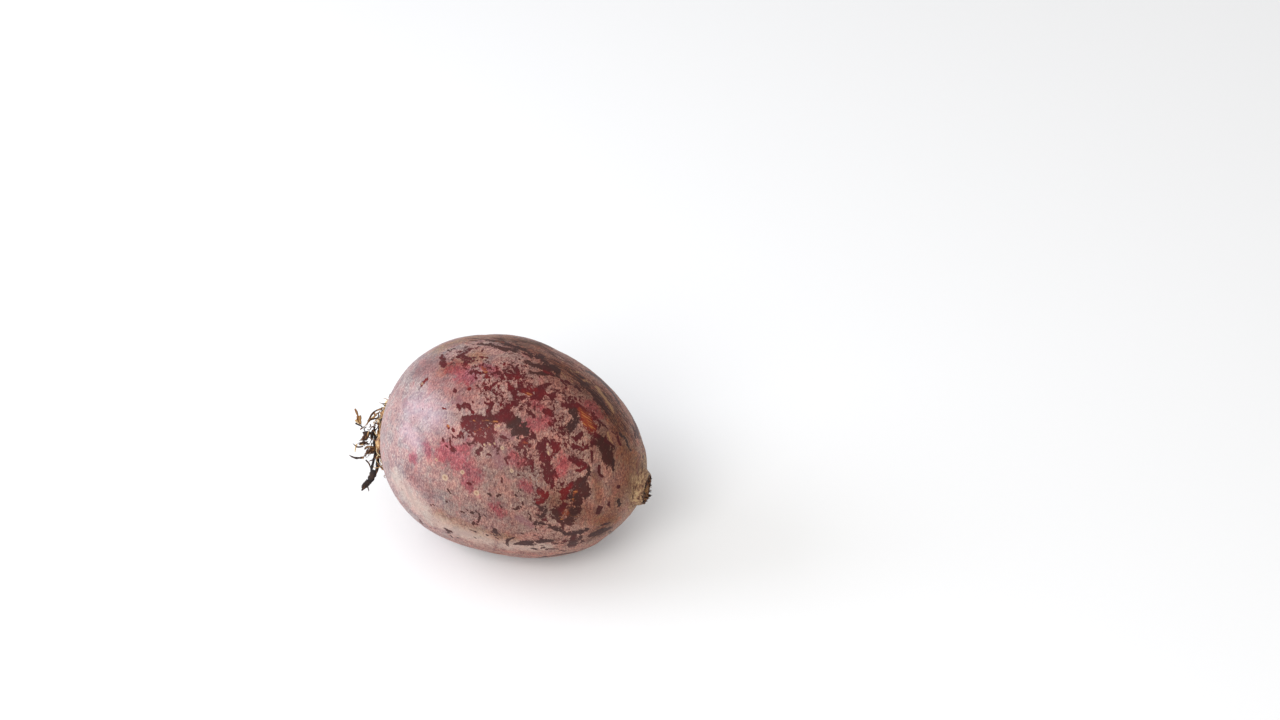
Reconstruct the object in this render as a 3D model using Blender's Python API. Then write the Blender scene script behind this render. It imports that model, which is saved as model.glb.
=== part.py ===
"""A beetroot lying on its side: the swollen root with its corky crown and broken tail,
and two tufts of dried leaf stalk that stand in hollows of the crown.

The crown points to -X and the tail to +X. Sizes are in millimetres and the meshes in metres.
Positions along and across the root are counted from the middle of its widest part, and the
finished part is then set down with the middle of its box on the origin and its flat at Z = 0.
"""
from math import cos, hypot, pi, radians, sin
from random import Random

import bmesh
import bpy
from mathutils import Vector

MM = 0.001

# The swollen root.
SWELL_RADIUS = 34.0
CROWN_LENGTH = 38.4
CROWN_ROUNDNESS = 2.26
TAIL_LENGTH = 46.9
TAIL_SHOULDER = 2.06
TAIL_FULLNESS = 0.51
TAIL_DROP = 1.2
TAIL_OFFSET = Vector((0, -2.0, -2.7))
LOBE_HEIGHT = 0.15
SIDES = 48

# Hollows and swellings, each with its depth, place along, half length and the angle that it faces:
# the hollow below the tail, the shoulder above the stub, and the fuller back of the root.
DIPS = (
    (1.1, 41.5, 6.0, radians(-126)),
    (-1.0, 46.2, 3.2, radians(45)),
    (-0.5, -1.0, 11.0, radians(53)),
)

# The stub of the tap root, broken off at the end.
STUB_END = 48.8
STUB_RADIUS = 4.7
STUB_FLARE = 7.0
STUB_FLARE_LENGTH = 9.0
STUB_FLARE_CURVE = 1.3
STUB_OFFSET = Vector((0, -2.5, -3.4))
STUB_BLEND = 6.0
BREAK_SLANT = 0.3
BREAK_HIGH_ANGLE = radians(140)

# The corky crown: each ring has a radius and a height over the swollen end.
COLLAR_CENTRE = Vector((0, -3.0, -4.2))
HOLLOW_CENTRE = Vector((0, -4.0, -6.2))
HOLLOW_FLOOR = -36.0
HOLLOW_FLOOR_RADII = (2.4, 4.5)
COLLAR_RINGS = ((4.8, 0.6), (5.6, 1.6), (6.6, 1.9), (7.4, 1.3), (8.3, 2.1), (9.2, 1.5), (10.4, 0.1))
COLLAR_WAVE = 0.5
CROWN_RING_RADII = (12.5, 15.5, 19.0, 22.5, 25.5, 28.0, 30.0, 31.6, 32.8)
CENTRED_RADIUS = 22.5

# Rings along the rest of the root, and across its broken end.
BODY_RINGS = (-6, 0, 6, 12, 17.5, 22.5, 27, 31, 34.5, 37.5, 40, 42, 43.7, 45.2, 46.5, 47.7, STUB_END)
BREAK_RINGS = ((3.9, 0.15), (2.6, -0.35), (1.2, -0.2))

# The flat that the root rests on.
FLAT_LEVEL = -33.2

# The dark tuft: a stump in the hollow, with strands given by their middle lines.
STUMP_RADIUS = 4.1
STUMP_FOOT = HOLLOW_FLOOR - 0.35
STUMP_TOP = -41.6
STRAND_SIDES = 6
DARK_STRANDS = (
    # width, thickness, then points from the foot to the tip
    (1.6, 1.0, ((-39.0, -5.0, -8.0), (-41.2, -7.6, -9.6), (-40.2, -11.2, -11.9), (-40.6, -14.2, -14.2), (-42.4, -17.4, -17.2))),
    (1.0, 0.8, ((-39.0, -6.4, -7.6), (-42.0, -8.6, -9.2), (-42.3, -11.2, -11.4), (-41.0, -13.2, -13.4))),
    (0.8, 0.7, ((-39.0, -6.0, -6.6), (-42.0, -8.6, -9.4), (-45.2, -10.2, -10.8), (-47.4, -10.6, -10.6), (-49.4, -10.9, -9.6))),
    (1.5, 0.9, ((-39.0, -3.6, -5.6), (-42.6, -4.6, -5.4), (-44.2, -4.2, -3.6), (-45.9, -6.0, -4.4), (-47.4, -9.0, -6.8))),
    (1.1, 0.8, ((-39.0, -2.4, -4.4), (-42.6, -1.8, -3.0), (-43.6, 0.6, -1.4), (-43.4, 2.0, 0.2))),
    (1.7, 1.1, ((-39.0, -5.6, -7.2), (-41.8, -8.0, -8.0), (-43.2, -10.4, -8.8), (-44.1, -11.7, -9.6))),
    (1.0, 0.8, ((-39.0, -5.8, -8.8), (-40.6, -8.2, -9.4), (-39.4, -10.2, -9.8))),
)
STUB_COUNT = 7
STUB_LENGTHS = (1.6, 3.2)
STUB_LEAN = 25.0

# The tan tuft: a small foot in its own socket at the upper edge of the collar.
SOCKET_CENTRE = Vector((0, 0.2, 1.2))
SOCKET_RADIUS = 1.75
SOCKET_FLOOR = -37.9
SOCKET_GAP = 0.35
TAN_FOOT_TOP = -40.9
TAN_STRANDS = (
    (1.5, 0.9, ((-39.0, 0.2, 1.2), (-42.6, 1.2, 2.0), (-45.0, -0.2, 1.2), (-46.3, -1.8, -1.2), (-47.3, -3.4, -3.4),
                (-48.8, -3.9, -0.9), (-50.2, -3.4, 3.0))),
    (1.0, 0.8, ((-39.0, 0.6, 0.8), (-42.2, 2.2, 1.0), (-44.2, 2.4, -0.6), (-45.4, 1.0, -2.6))),
    (1.0, 0.8, ((-39.0, -0.2, 1.6), (-42.0, -0.8, 3.0), (-43.6, -2.4, 3.4))),
)

STUMP_SEED = 11


def swell_radius(x):
    """Radius of the swollen root at a place along it."""
    if x < 0:
        left = 1 - (-x / CROWN_LENGTH) ** CROWN_ROUNDNESS
        return SWELL_RADIUS * max(left, 0) ** (1 / CROWN_ROUNDNESS)
    left = 1 - (x / TAIL_LENGTH) ** TAIL_SHOULDER if x < TAIL_LENGTH else 0
    return SWELL_RADIUS * left ** TAIL_FULLNESS


def stub_radius(x):
    """Radius of the flared tap root, which the swollen end runs into."""
    back = min(max((STUB_END - x) / STUB_FLARE_LENGTH, 0), 1)
    return STUB_RADIUS + STUB_FLARE * back ** STUB_FLARE_CURVE


def lobes(x, angle):
    """Height of the soft lobes that run along the root."""
    return LOBE_HEIGHT * (cos(3 * angle + 0.5 + x / 40) + 0.7 * cos(5 * angle - 1 - x / 30))


def dips(x, angle):
    """Depth of the hollows at a place, less the height of the swellings."""
    return sum(depth * max(1 - ((x - place) / length) ** 2, 0) * max(cos(angle - facing), 0)
               for depth, place, length, facing in DIPS)


def break_slant(x, angle):
    """How far the slanting break moves a point along the tap root, less and less away from it."""
    near = max(1 - (STUB_END - x) / 3, 0) if x < STUB_END else 1
    return BREAK_SLANT * near * cos(angle - BREAK_HIGH_ANGLE)


def crown_face(y, z):
    """Place of the swollen root's crown end over a point of its cross-section."""
    reach = min(hypot(y, z) / SWELL_RADIUS, 1)
    return -CROWN_LENGTH * (1 - reach ** CROWN_ROUNDNESS) ** (1 / CROWN_ROUNDNESS)


def around():
    """The angles of the points of a ring, counted from +Y toward +Z."""
    return [2 * pi * k / SIDES for k in range(SIDES)]


def crown_ring(centre, radius, height, wave):
    """A ring on the crown end, raised over it, with a torn edge where wave isn't 0."""
    ring = []
    for angle in around():
        torn = wave * (sin(5 * angle + 0.6) + 0.6 * sin(11 * angle + 2.0))
        y = centre.y + (radius + 0.5 * torn) * cos(angle)
        z = centre.z + (radius + 0.5 * torn) * sin(angle)
        face = crown_face(y, z)
        spread = 1 + lobes(face, angle) * hypot(y, z) ** 2 / SWELL_RADIUS ** 3
        ring.append(Vector((face - height - torn, y * spread, z * spread)))
    return ring


def floor_ring(radius):
    """A level ring on the floor of the crown's hollow."""
    return [Vector((HOLLOW_FLOOR, HOLLOW_CENTRE.y + radius * cos(angle), HOLLOW_CENTRE.z + radius * sin(angle)))
            for angle in around()]


def body_ring(x):
    """A ring across the root, at a place between its widest part and its broken end."""
    swell = swell_radius(x)
    stub = stub_radius(x) if x > TAIL_LENGTH / 2 else 0
    weight = stub ** STUB_BLEND / (swell ** STUB_BLEND + stub ** STUB_BLEND)
    radius = (swell ** STUB_BLEND + stub ** STUB_BLEND) ** (1 / STUB_BLEND)
    offset = TAIL_OFFSET * (max(x, 0) / TAIL_LENGTH) ** TAIL_DROP
    offset = offset.lerp(STUB_OFFSET, weight)
    ring = []
    for angle in around():
        reach = radius + lobes(x, angle) * (radius / SWELL_RADIUS) ** 2 - dips(x, angle)
        place = x + break_slant(x, angle)
        ring.append(Vector((place, reach * cos(angle), reach * sin(angle))) + offset)
    return ring


def break_ring(radius, step):
    """A ring on the broken end of the tap root."""
    ring = []
    for angle in around():
        ragged = 0.25 * sin(4 * angle + 1.0) + 0.15 * sin(7 * angle)
        place = STUB_END + step + ragged + break_slant(STUB_END, angle) * radius / STUB_RADIUS
        ring.append(STUB_OFFSET + Vector((place, radius * cos(angle), radius * sin(angle))))
    return ring


def root_rings():
    """All rings of the root, from the floor of the crown's hollow to the broken end."""
    rings = [floor_ring(radius) for radius in HOLLOW_FLOOR_RADII]
    for index, (radius, height) in enumerate(COLLAR_RINGS):
        share = min(index / 3, 1)
        centre = HOLLOW_CENTRE.lerp(COLLAR_CENTRE, share)
        rings.append(crown_ring(centre, radius, height, COLLAR_WAVE * share if height > 1 else 0))
    collar = COLLAR_RINGS[-1][0]
    for radius in CROWN_RING_RADII:
        share = min((radius - collar) / (CENTRED_RADIUS - collar), 1)
        rings.append(crown_ring(COLLAR_CENTRE.lerp(Vector(), share), radius, 0, 0))
    rings += [body_ring(x) for x in BODY_RINGS]
    rings += [break_ring(radius, step) for radius, step in BREAK_RINGS]
    return rings


def skin(rings, first, last):
    """A closed mesh through a row of rings, with a point at each end."""
    mesh = bmesh.new()
    rows = [[mesh.verts.new(point * MM) for point in ring] for ring in rings]
    ends = (mesh.verts.new(first * MM), mesh.verts.new(last * MM))
    sides = len(rings[0])
    for k in range(sides):
        after = (k + 1) % sides
        mesh.faces.new((ends[0], rows[0][after], rows[0][k]))
        mesh.faces.new((ends[1], rows[-1][k], rows[-1][after]))
        for near, far in zip(rows, rows[1:]):
            mesh.faces.new((near[k], near[after], far[after], far[k]))
    bmesh.ops.recalc_face_normals(mesh, faces=mesh.faces)
    return mesh


def cut_flat(mesh):
    """Cuts the underside off level, and closes the cut with one flat face."""
    geometry = mesh.verts[:] + mesh.edges[:] + mesh.faces[:]
    level = Vector((0, 0, FLAT_LEVEL * MM))
    bmesh.ops.bisect_plane(mesh, geom=geometry, dist=1e-6, plane_co=level, plane_no=(0, 0, -1), clear_outer=True)
    rim = [edge for edge in mesh.edges if edge.is_boundary]
    bmesh.ops.holes_fill(mesh, edges=rim, sides=0)
    short = [vert for vert in mesh.verts if abs(vert.co.z - level.z) < 1e-6]
    bmesh.ops.remove_doubles(mesh, verts=short, dist=0.0001)


def material(name, colour, roughness):
    """A plain material of a measured colour."""
    made = bpy.data.materials.new(name)
    made.use_nodes = True
    shader = made.node_tree.nodes["Principled BSDF"]
    shader.inputs["Base Color"].default_value = (*colour, 1)
    shader.inputs["Roughness"].default_value = roughness
    shader.inputs["Metallic"].default_value = 0
    return made


def piece(name, mesh, surface=None):
    """An object from a finished mesh, shaded smooth except at its sharp edges."""
    data = bpy.data.meshes.new(name)
    mesh.to_mesh(data)
    mesh.free()
    data.shade_smooth()
    data.set_sharp_from_angle(angle=radians(50))
    if surface:
        data.materials.append(surface)
    made = bpy.data.objects.new(name, data)
    bpy.context.scene.collection.objects.link(made)
    return made


def round_peg(centre, radius, foot, top):
    """A short round peg along X, with a slightly crowned top."""
    sides = 12
    rings = []
    for x, share in ((foot, 1), (0.7 * top + 0.3 * foot, 1), (top, 0.72)):
        ring = []
        for k in range(sides):
            angle = 2 * pi * k / sides
            ring.append(Vector((x, centre.y + radius * share * cos(angle), centre.z + radius * share * sin(angle))))
        rings.append(ring)
    middle = Vector((0, centre.y, centre.z))
    return skin(rings, middle + Vector((foot, 0, 0)), middle + Vector((top - 0.2, 0, 0)))


def smooth_line(points, steps):
    """A smooth curve through the given points, with steps pieces between each two."""
    knots = [Vector(point) for point in points]
    knots = [2 * knots[0] - knots[1]] + knots + [2 * knots[-1] - knots[-2]]
    line = []
    for a, b, c, d in zip(knots, knots[1:], knots[2:], knots[3:]):
        for step in range(steps):
            t = step / steps
            line.append(0.5 * (2 * b + (c - a) * t + (2 * a - 5 * b + 4 * c - d) * t ** 2
                               + (3 * b - 3 * c + d - a) * t ** 3))
    return line + [knots[-2]]


def strand(width, thickness, points, steps=3):
    """A flat strip of dried stalk along a smooth line, narrowing to its tip."""
    line = smooth_line(points, steps)
    side = Vector((0, 0.6, 0.8))
    rings = []
    for index, point in enumerate(line):
        ahead = line[min(index + 1, len(line) - 1)] - line[max(index - 1, 0)]
        side = (side - side.project(ahead)).normalized()
        other = ahead.normalized().cross(side)
        along = index / (len(line) - 1)
        half_width = max(width / 2 * (1 - 0.55 * along ** 2), 0.32)
        half_thickness = max(thickness / 2 * (1 - 0.3 * along ** 2), 0.32)
        ring = []
        for k in range(STRAND_SIDES):
            angle = 2 * pi * k / STRAND_SIDES
            ring.append(point + side * half_width * cos(angle) + other * half_thickness * sin(angle))
        rings.append(ring)
    lead = (line[-1] - line[-2]).normalized() * 0.3
    return skin(rings, line[0], line[-1] + lead)


def stump_stubs():
    """Middle lines of the short broken stalks that ring the stump, with seeded lengths and leans."""
    draw = Random(STUMP_SEED)
    lines = []
    for k in range(STUB_COUNT):
        angle = 2 * pi * (k + draw.uniform(-0.3, 0.3)) / STUB_COUNT
        out = Vector((0, cos(angle), sin(angle)))
        length = draw.uniform(*STUB_LENGTHS)
        lean = radians(draw.uniform(0.4, 1) * STUB_LEAN)
        foot = HOLLOW_CENTRE + out * STUMP_RADIUS * 0.62
        start = foot + Vector((STUMP_TOP + 2, 0, 0))
        bend = foot + Vector((STUMP_TOP - 0.3 * length, 0, 0)) + out * 0.2
        tip = foot + Vector((STUMP_TOP - length * cos(lean), 0, 0)) + out * length * sin(lean)
        lines.append((1.3, 0.9, (start, bend, tip)))
    return lines


def fuse(base, strands):
    """Joins strands to their base with one Boolean union, and leaves one solid."""
    group = bpy.data.collections.new(base.name + "_strands")
    bpy.context.scene.collection.children.link(group)
    for index, (width, thickness, points) in enumerate(strands):
        made = piece(f"{base.name}_{index}", strand(width, thickness, points))
        bpy.context.scene.collection.objects.unlink(made)
        group.objects.link(made)
    union = base.modifiers.new("union", "BOOLEAN")
    union.operation = "UNION"
    union.solver = "EXACT"
    union.operand_type = "COLLECTION"
    union.collection = group
    with bpy.context.temp_override(object=base, active_object=base):
        bpy.ops.object.modifier_apply(modifier=union.name)
    for made in list(group.objects):
        bpy.data.objects.remove(made, do_unlink=True)
    bpy.data.collections.remove(group)


def build_root():
    """The root itself, with its flat and the socket of the tan tuft."""
    first = HOLLOW_CENTRE + Vector((HOLLOW_FLOOR, 0, 0))
    last = STUB_OFFSET + Vector((STUB_END - 0.4, 0, 0))
    mesh = skin(root_rings(), first, last)
    cut_flat(mesh)
    root = piece("beet_root", mesh, material("beet_skin", (0.32, 0.17, 0.15), 0.62))
    cutter = piece("tan_socket_cutter", round_peg(SOCKET_CENTRE, SOCKET_RADIUS, SOCKET_FLOOR, SOCKET_FLOOR - 8))
    cutter.hide_render = True
    cutter.display_type = "WIRE"
    socket = root.modifiers.new("socket", "BOOLEAN")
    socket.operation = "DIFFERENCE"
    socket.solver = "EXACT"
    socket.object = cutter
    return root, cutter


def build_dark_tuft():
    """The dark tuft: the dried heart of the crown and the strands that grow from it."""
    mesh = round_peg(HOLLOW_CENTRE, STUMP_RADIUS, STUMP_FOOT, STUMP_TOP)
    tuft = piece("dark_stalk_tuft", mesh, material("dark_stalk", (0.018, 0.011, 0.009), 0.7))
    fuse(tuft, DARK_STRANDS + tuple(stump_stubs()))
    return tuft


def build_tan_tuft():
    """The tan tuft: a few strips of an outer leaf stalk on one foot."""
    radius = SOCKET_RADIUS - SOCKET_GAP
    mesh = round_peg(SOCKET_CENTRE, radius, SOCKET_FLOOR - SOCKET_GAP, TAN_FOOT_TOP)
    tuft = piece("tan_stalk_tuft", mesh, material("tan_stalk", (0.24, 0.12, 0.05), 0.75))
    fuse(tuft, TAN_STRANDS)
    return tuft


def set_down(pieces, helpers):
    """Moves the part so that its flat is at Z = 0 and its box is centred on the origin."""
    corners = [made.matrix_world @ vert.co for made in pieces for vert in made.data.vertices]
    middle = [(min(p[i] for p in corners) + max(p[i] for p in corners)) / 2 for i in range(2)]
    stand = bpy.data.objects.new("beetroot", None)
    bpy.context.scene.collection.objects.link(stand)
    stand.location = (-middle[0], -middle[1], -FLAT_LEVEL * MM)
    for made in pieces + helpers:
        made.parent = stand


def main():
    for made in list(bpy.data.objects):
        bpy.data.objects.remove(made, do_unlink=True)
    root, cutter = build_root()
    pieces = [root, build_dark_tuft(), build_tan_tuft()]
    set_down(pieces, [cutter])


main()
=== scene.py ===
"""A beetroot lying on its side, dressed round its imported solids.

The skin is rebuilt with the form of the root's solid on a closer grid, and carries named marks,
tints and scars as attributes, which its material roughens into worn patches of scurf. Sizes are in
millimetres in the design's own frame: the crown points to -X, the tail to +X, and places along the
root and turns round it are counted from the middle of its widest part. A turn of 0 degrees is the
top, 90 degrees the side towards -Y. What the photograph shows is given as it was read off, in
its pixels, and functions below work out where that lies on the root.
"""
from collections import namedtuple
from math import atan2, cos, degrees, pi, radians, sin
from random import Random

import bpy
import numpy as np
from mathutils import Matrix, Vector, noise
from mathutils.bvhtree import BVHTree


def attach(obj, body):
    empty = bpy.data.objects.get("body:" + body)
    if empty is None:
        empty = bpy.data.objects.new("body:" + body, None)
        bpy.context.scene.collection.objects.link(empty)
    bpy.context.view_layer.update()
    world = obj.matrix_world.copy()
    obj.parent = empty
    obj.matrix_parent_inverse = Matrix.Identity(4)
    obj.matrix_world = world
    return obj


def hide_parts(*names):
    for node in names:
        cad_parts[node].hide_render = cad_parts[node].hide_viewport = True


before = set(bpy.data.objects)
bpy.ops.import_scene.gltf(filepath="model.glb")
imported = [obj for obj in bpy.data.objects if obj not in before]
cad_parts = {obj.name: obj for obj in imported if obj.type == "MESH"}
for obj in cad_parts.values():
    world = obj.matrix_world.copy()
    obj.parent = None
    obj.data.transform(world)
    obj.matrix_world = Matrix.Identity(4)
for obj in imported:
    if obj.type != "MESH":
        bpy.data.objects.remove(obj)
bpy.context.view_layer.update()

MM = 0.001
SET_DOWN = np.array((0.519, -0.338, 33.2))

# The photograph and its camera. The aim lies right of and above the root's middle, as the camera sees it.
PHOTO_WIDTH = 1280
PHOTO_HEIGHT = 720
LENS = 70
SENSOR = 36
AZIMUTH = radians(19)
ELEVATION = radians(38)
CAMERA_DISTANCE = 785.3
AIM_RIGHT = 43.13
AIM_UP = 26.35
RIGHT = np.array((cos(AZIMUTH), sin(AZIMUTH), 0))
BACK = np.array((sin(AZIMUTH) * cos(ELEVATION), -cos(AZIMUTH) * cos(ELEVATION), sin(ELEVATION)))
UP = np.cross(BACK, RIGHT)
AIM = RIGHT * AIM_RIGHT + UP * AIM_UP
CAMERA_PLACE = AIM + BACK * CAMERA_DISTANCE
PIXEL_SLOPE = SENSOR / LENS / PHOTO_WIDTH

# The swollen root, as in its solid.
SWELL_RADIUS = 34.0
CROWN_LENGTH = 38.4
CROWN_ROUNDNESS = 2.26
TAIL_LENGTH = 46.9
TAIL_SHOULDER = 2.06
TAIL_FULLNESS = 0.51
TAIL_DROP = 1.2
TAIL_OFFSET = np.array((-2.0, -2.7))
LOBE_HEIGHT = 0.15
DIPS = (
    (1.1, 41.5, 6.0, radians(-126)),
    (-1.0, 46.2, 3.2, radians(45)),
    (-0.5, -1.0, 11.0, radians(53)),
)
STUB_END = 48.8
STUB_RADIUS = 4.7
STUB_FLARE = 7.0
STUB_FLARE_LENGTH = 9.0
STUB_FLARE_CURVE = 1.3
STUB_OFFSET = np.array((-2.5, -3.4))
STUB_BLEND = 6.0
BREAK_SLANT = 0.3
BREAK_HIGH_ANGLE = radians(140)
BREAK_RADII = (1.2, 2.6, 3.9, 4.7)
BREAK_STEPS = (-0.2, -0.35, 0.15, 0)
COLLAR_CENTRE = np.array((-3.0, -4.2))
COLLAR_RADII = (4.8, 5.6, 6.6, 7.4, 8.3, 9.2, 10.4)
COLLAR_HEIGHTS = (0.6, 1.4, 1.5, 1.0, 1.5, 1.0, 0.1)
COLLAR_SHARES = (0, 1 / 3, 2 / 3, 1, 1, 1, 1)
COLLAR_WAVES = (0, 1 / 3, 2 / 3, 1, 1, 1, 0)
COLLAR_WAVE = 0.5
COLLAR_EDGE = 11
HOLLOW_CENTRE = np.array((-4.0, -6.2))
HOLLOW_FLOOR = -36.0
HOLLOW_RADIUS = 4.7
CENTRED_RADIUS = 22.5
CROWN_EDGE = 32.8
BODY_START = -12.0
FLAT_LEVEL = -33.2

# The fine skin: points round each ring, and the spacing of the rings on each stretch. The crown's and the
# body's rings are picked from closer ones.
ROUND = 344
CLOSE_STEP = 0.02
CLOSE_CROWN_RINGS = 70
CLOSE_CROWN_SPACING = 1.25
RING_STEP = 0.5
CROWN_STEP = 0.4
COLLAR_STEP = 0.16
FLOOR_STEP = 0.3
END_STEP = 0.24

# How far the cork, the torn relief and the bare stub reach, and over what length they fade.
CORK_REACH = 17
CORK_FADE = 9
TORN_REACH = 13
TORN_FADE = 4
TORN_EDGE = 0.5
STUB_SKIN = 42.5
STUB_SKIN_FADE = 4.5
BREAK_DEPTH = 1.5
BREAK_MARGIN = 0.3
HOLLOW_REACH = 5.6
HOLLOW_FADE = 0.8
SKIN_RELIEF = (0.12, 0.05)
TORN_RELIEF = (0.2, 0.42)
WARM_START = -24
WARM_LENGTH = 69

# Worn marks: half width in millimetres, then points in pixels across and down the photograph, as read off it.
# A few points are given as places on the root instead: millimetres along it, degrees round it.
Place = namedtuple("Place", "along turn")
DARK = (
    (1.3, (573, 411), (572, 420), (570, 427)), (1.6, (518, 421), (512, 425), (517, 431), (524, 429)),
    (1.3, (524, 425), (524, 433)), (0.4, (520, 433), (519, 440)), (0.7, (613, 460), (613.5, 467)),
    (0.8, (588, 467), (589, 476)), (0.9, (585, 479), (579, 485)), (1.4, (577, 488), (575, 498)),
    (0.6, (622, 435), (627, 441), (628, 446)), (0.8, (619, 500), (618.5, 504)),
    (0.4, Place(45, -11), Place(45.5, -38)), (1.7, (523, 543), (532, 543)),
    (0.5, (514, 544.5), (519, 543)), (0.9, (540, 541), (549, 541)), (0.4, (533, 549), (545, 547)),
    (0.6, (512, 538), (508, 541), (507, 546)), (0.9, (493, 531), (499, 533)),
    (0.4, (486, 534.5), (494, 534.5), (502, 534)), (0.4, (491, 530.5), (497, 531)),
    (0.3, (496, 538), (499, 538)), (0.3, (521, 534), (533, 534)),
    (0.4, (471, 529.5), (475, 531), (477, 533)), (0.3, (471, 512), (474, 513.5), (477, 512)),
    (0.3, (460, 511.5), (464, 512)), (0.3, (467, 511.5), (468, 511.5)),
    (0.4, (479.5, 515), (478.5, 520), (476, 523)), (0.4, (472, 521), (472, 524)),
    (0.3, (485, 515), (487, 517)), (0.4, (447.5, 489), (450.5, 494)), (0.3, (446, 502), (448, 501.5)),
    (0.3, (431, 503), (434, 505)), (0.3, (457, 537), (459, 538)), (0.3, (475, 537), (476, 538)),
    (0.3, (501.5, 478), (501, 481)), (0.3, (498, 496.5), (500, 495.5)),
    (0.3, (490, 492.5), (491.5, 492.5)), (0.3, (517, 492.5), (520, 490.5)),
    (0.3, (517, 497), (518.5, 497)), (0.5, (515, 509), (519, 506)), (0.3, (501, 507.5), (503, 507.5)),
    (0.4, (529.5, 515), (530.5, 520)), (0.3, (523, 502), (524, 503)), (0.5, (537, 521), (536.5, 529)),
    (0.6, (540, 524), (550, 524)), (1.1, (551, 527), (557, 529)), (0.9, (560, 530), (566, 534)),
    (0.9, (567, 533), (578, 532), (587, 528.5)), (0.4, (536, 505), (541, 509), (546, 508)),
    (0.8, (543, 516), (546, 512)), (0.4, (537, 514), (538, 515)),
)
BROWN = (
    (0.3, (448, 350), (455, 349), (465, 348), (475, 345), (490, 344)),
    (0.8, (480, 344.5), (490, 345), (497, 348), (505, 350)),
    (0.9, (488, 341), (500, 342), (510, 345), (520, 349), (530, 354), (537, 358)),
    (0.6, (497, 347), (510, 350), (515, 352)), (0.4, (467, 339), (475, 338.5), (485, 338.5)),
    (0.4, (500, 335.5), (510, 336.5), (517, 338)), (0.3, (500, 337.5), (512, 338)),
    (0.3, (508, 341.5), (516, 342.5)), (0.5, (516, 350), (526, 355), (532, 358)),
    (2.2, (545, 366), (556, 370)), (1.3, (541, 356), (546, 362)), (0.9, (541, 374), (558, 376)),
    (0.9, (524, 363), (534, 366), (541, 369)), (0.4, (520, 360), (530, 363)),
    (0.6, (530, 372), (540, 374)), (1.7, (579, 378), (586, 386), (592, 394), (600, 403), (606, 410)),
    (1.4, (586, 371), (598, 378), (607, 387), (614, 396), (618, 402)),
    (2.4, (603, 443), (606, 452), (608, 460)), (1.6, (580, 482), (578, 492), (576, 502)),
    (1.6, (586, 486), (585, 496)), (1.6, (575, 508), (571, 516), (567, 523)),
    (1.3, (556, 513), (558, 520)), (0.9, (561, 521), (562, 527)), (1.4, (573, 537), (573, 545)),
    (1.4, (595, 533), (603, 530), (611, 527)), (0.5, (603, 525), (609, 522)),
    (0.7, (582, 535), (583, 541)), (0.4, (545, 549), (558, 549), (565, 551)),
    (0.4, (556, 543), (563, 543)),
    (0.4, Place(37, -23), Place(40.5, -29), Place(43.5, -34), Place(45, -46)),
    (0.6, (633, 426), (635, 437)), (0.4, (606, 413), (612, 421)),
)
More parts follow.
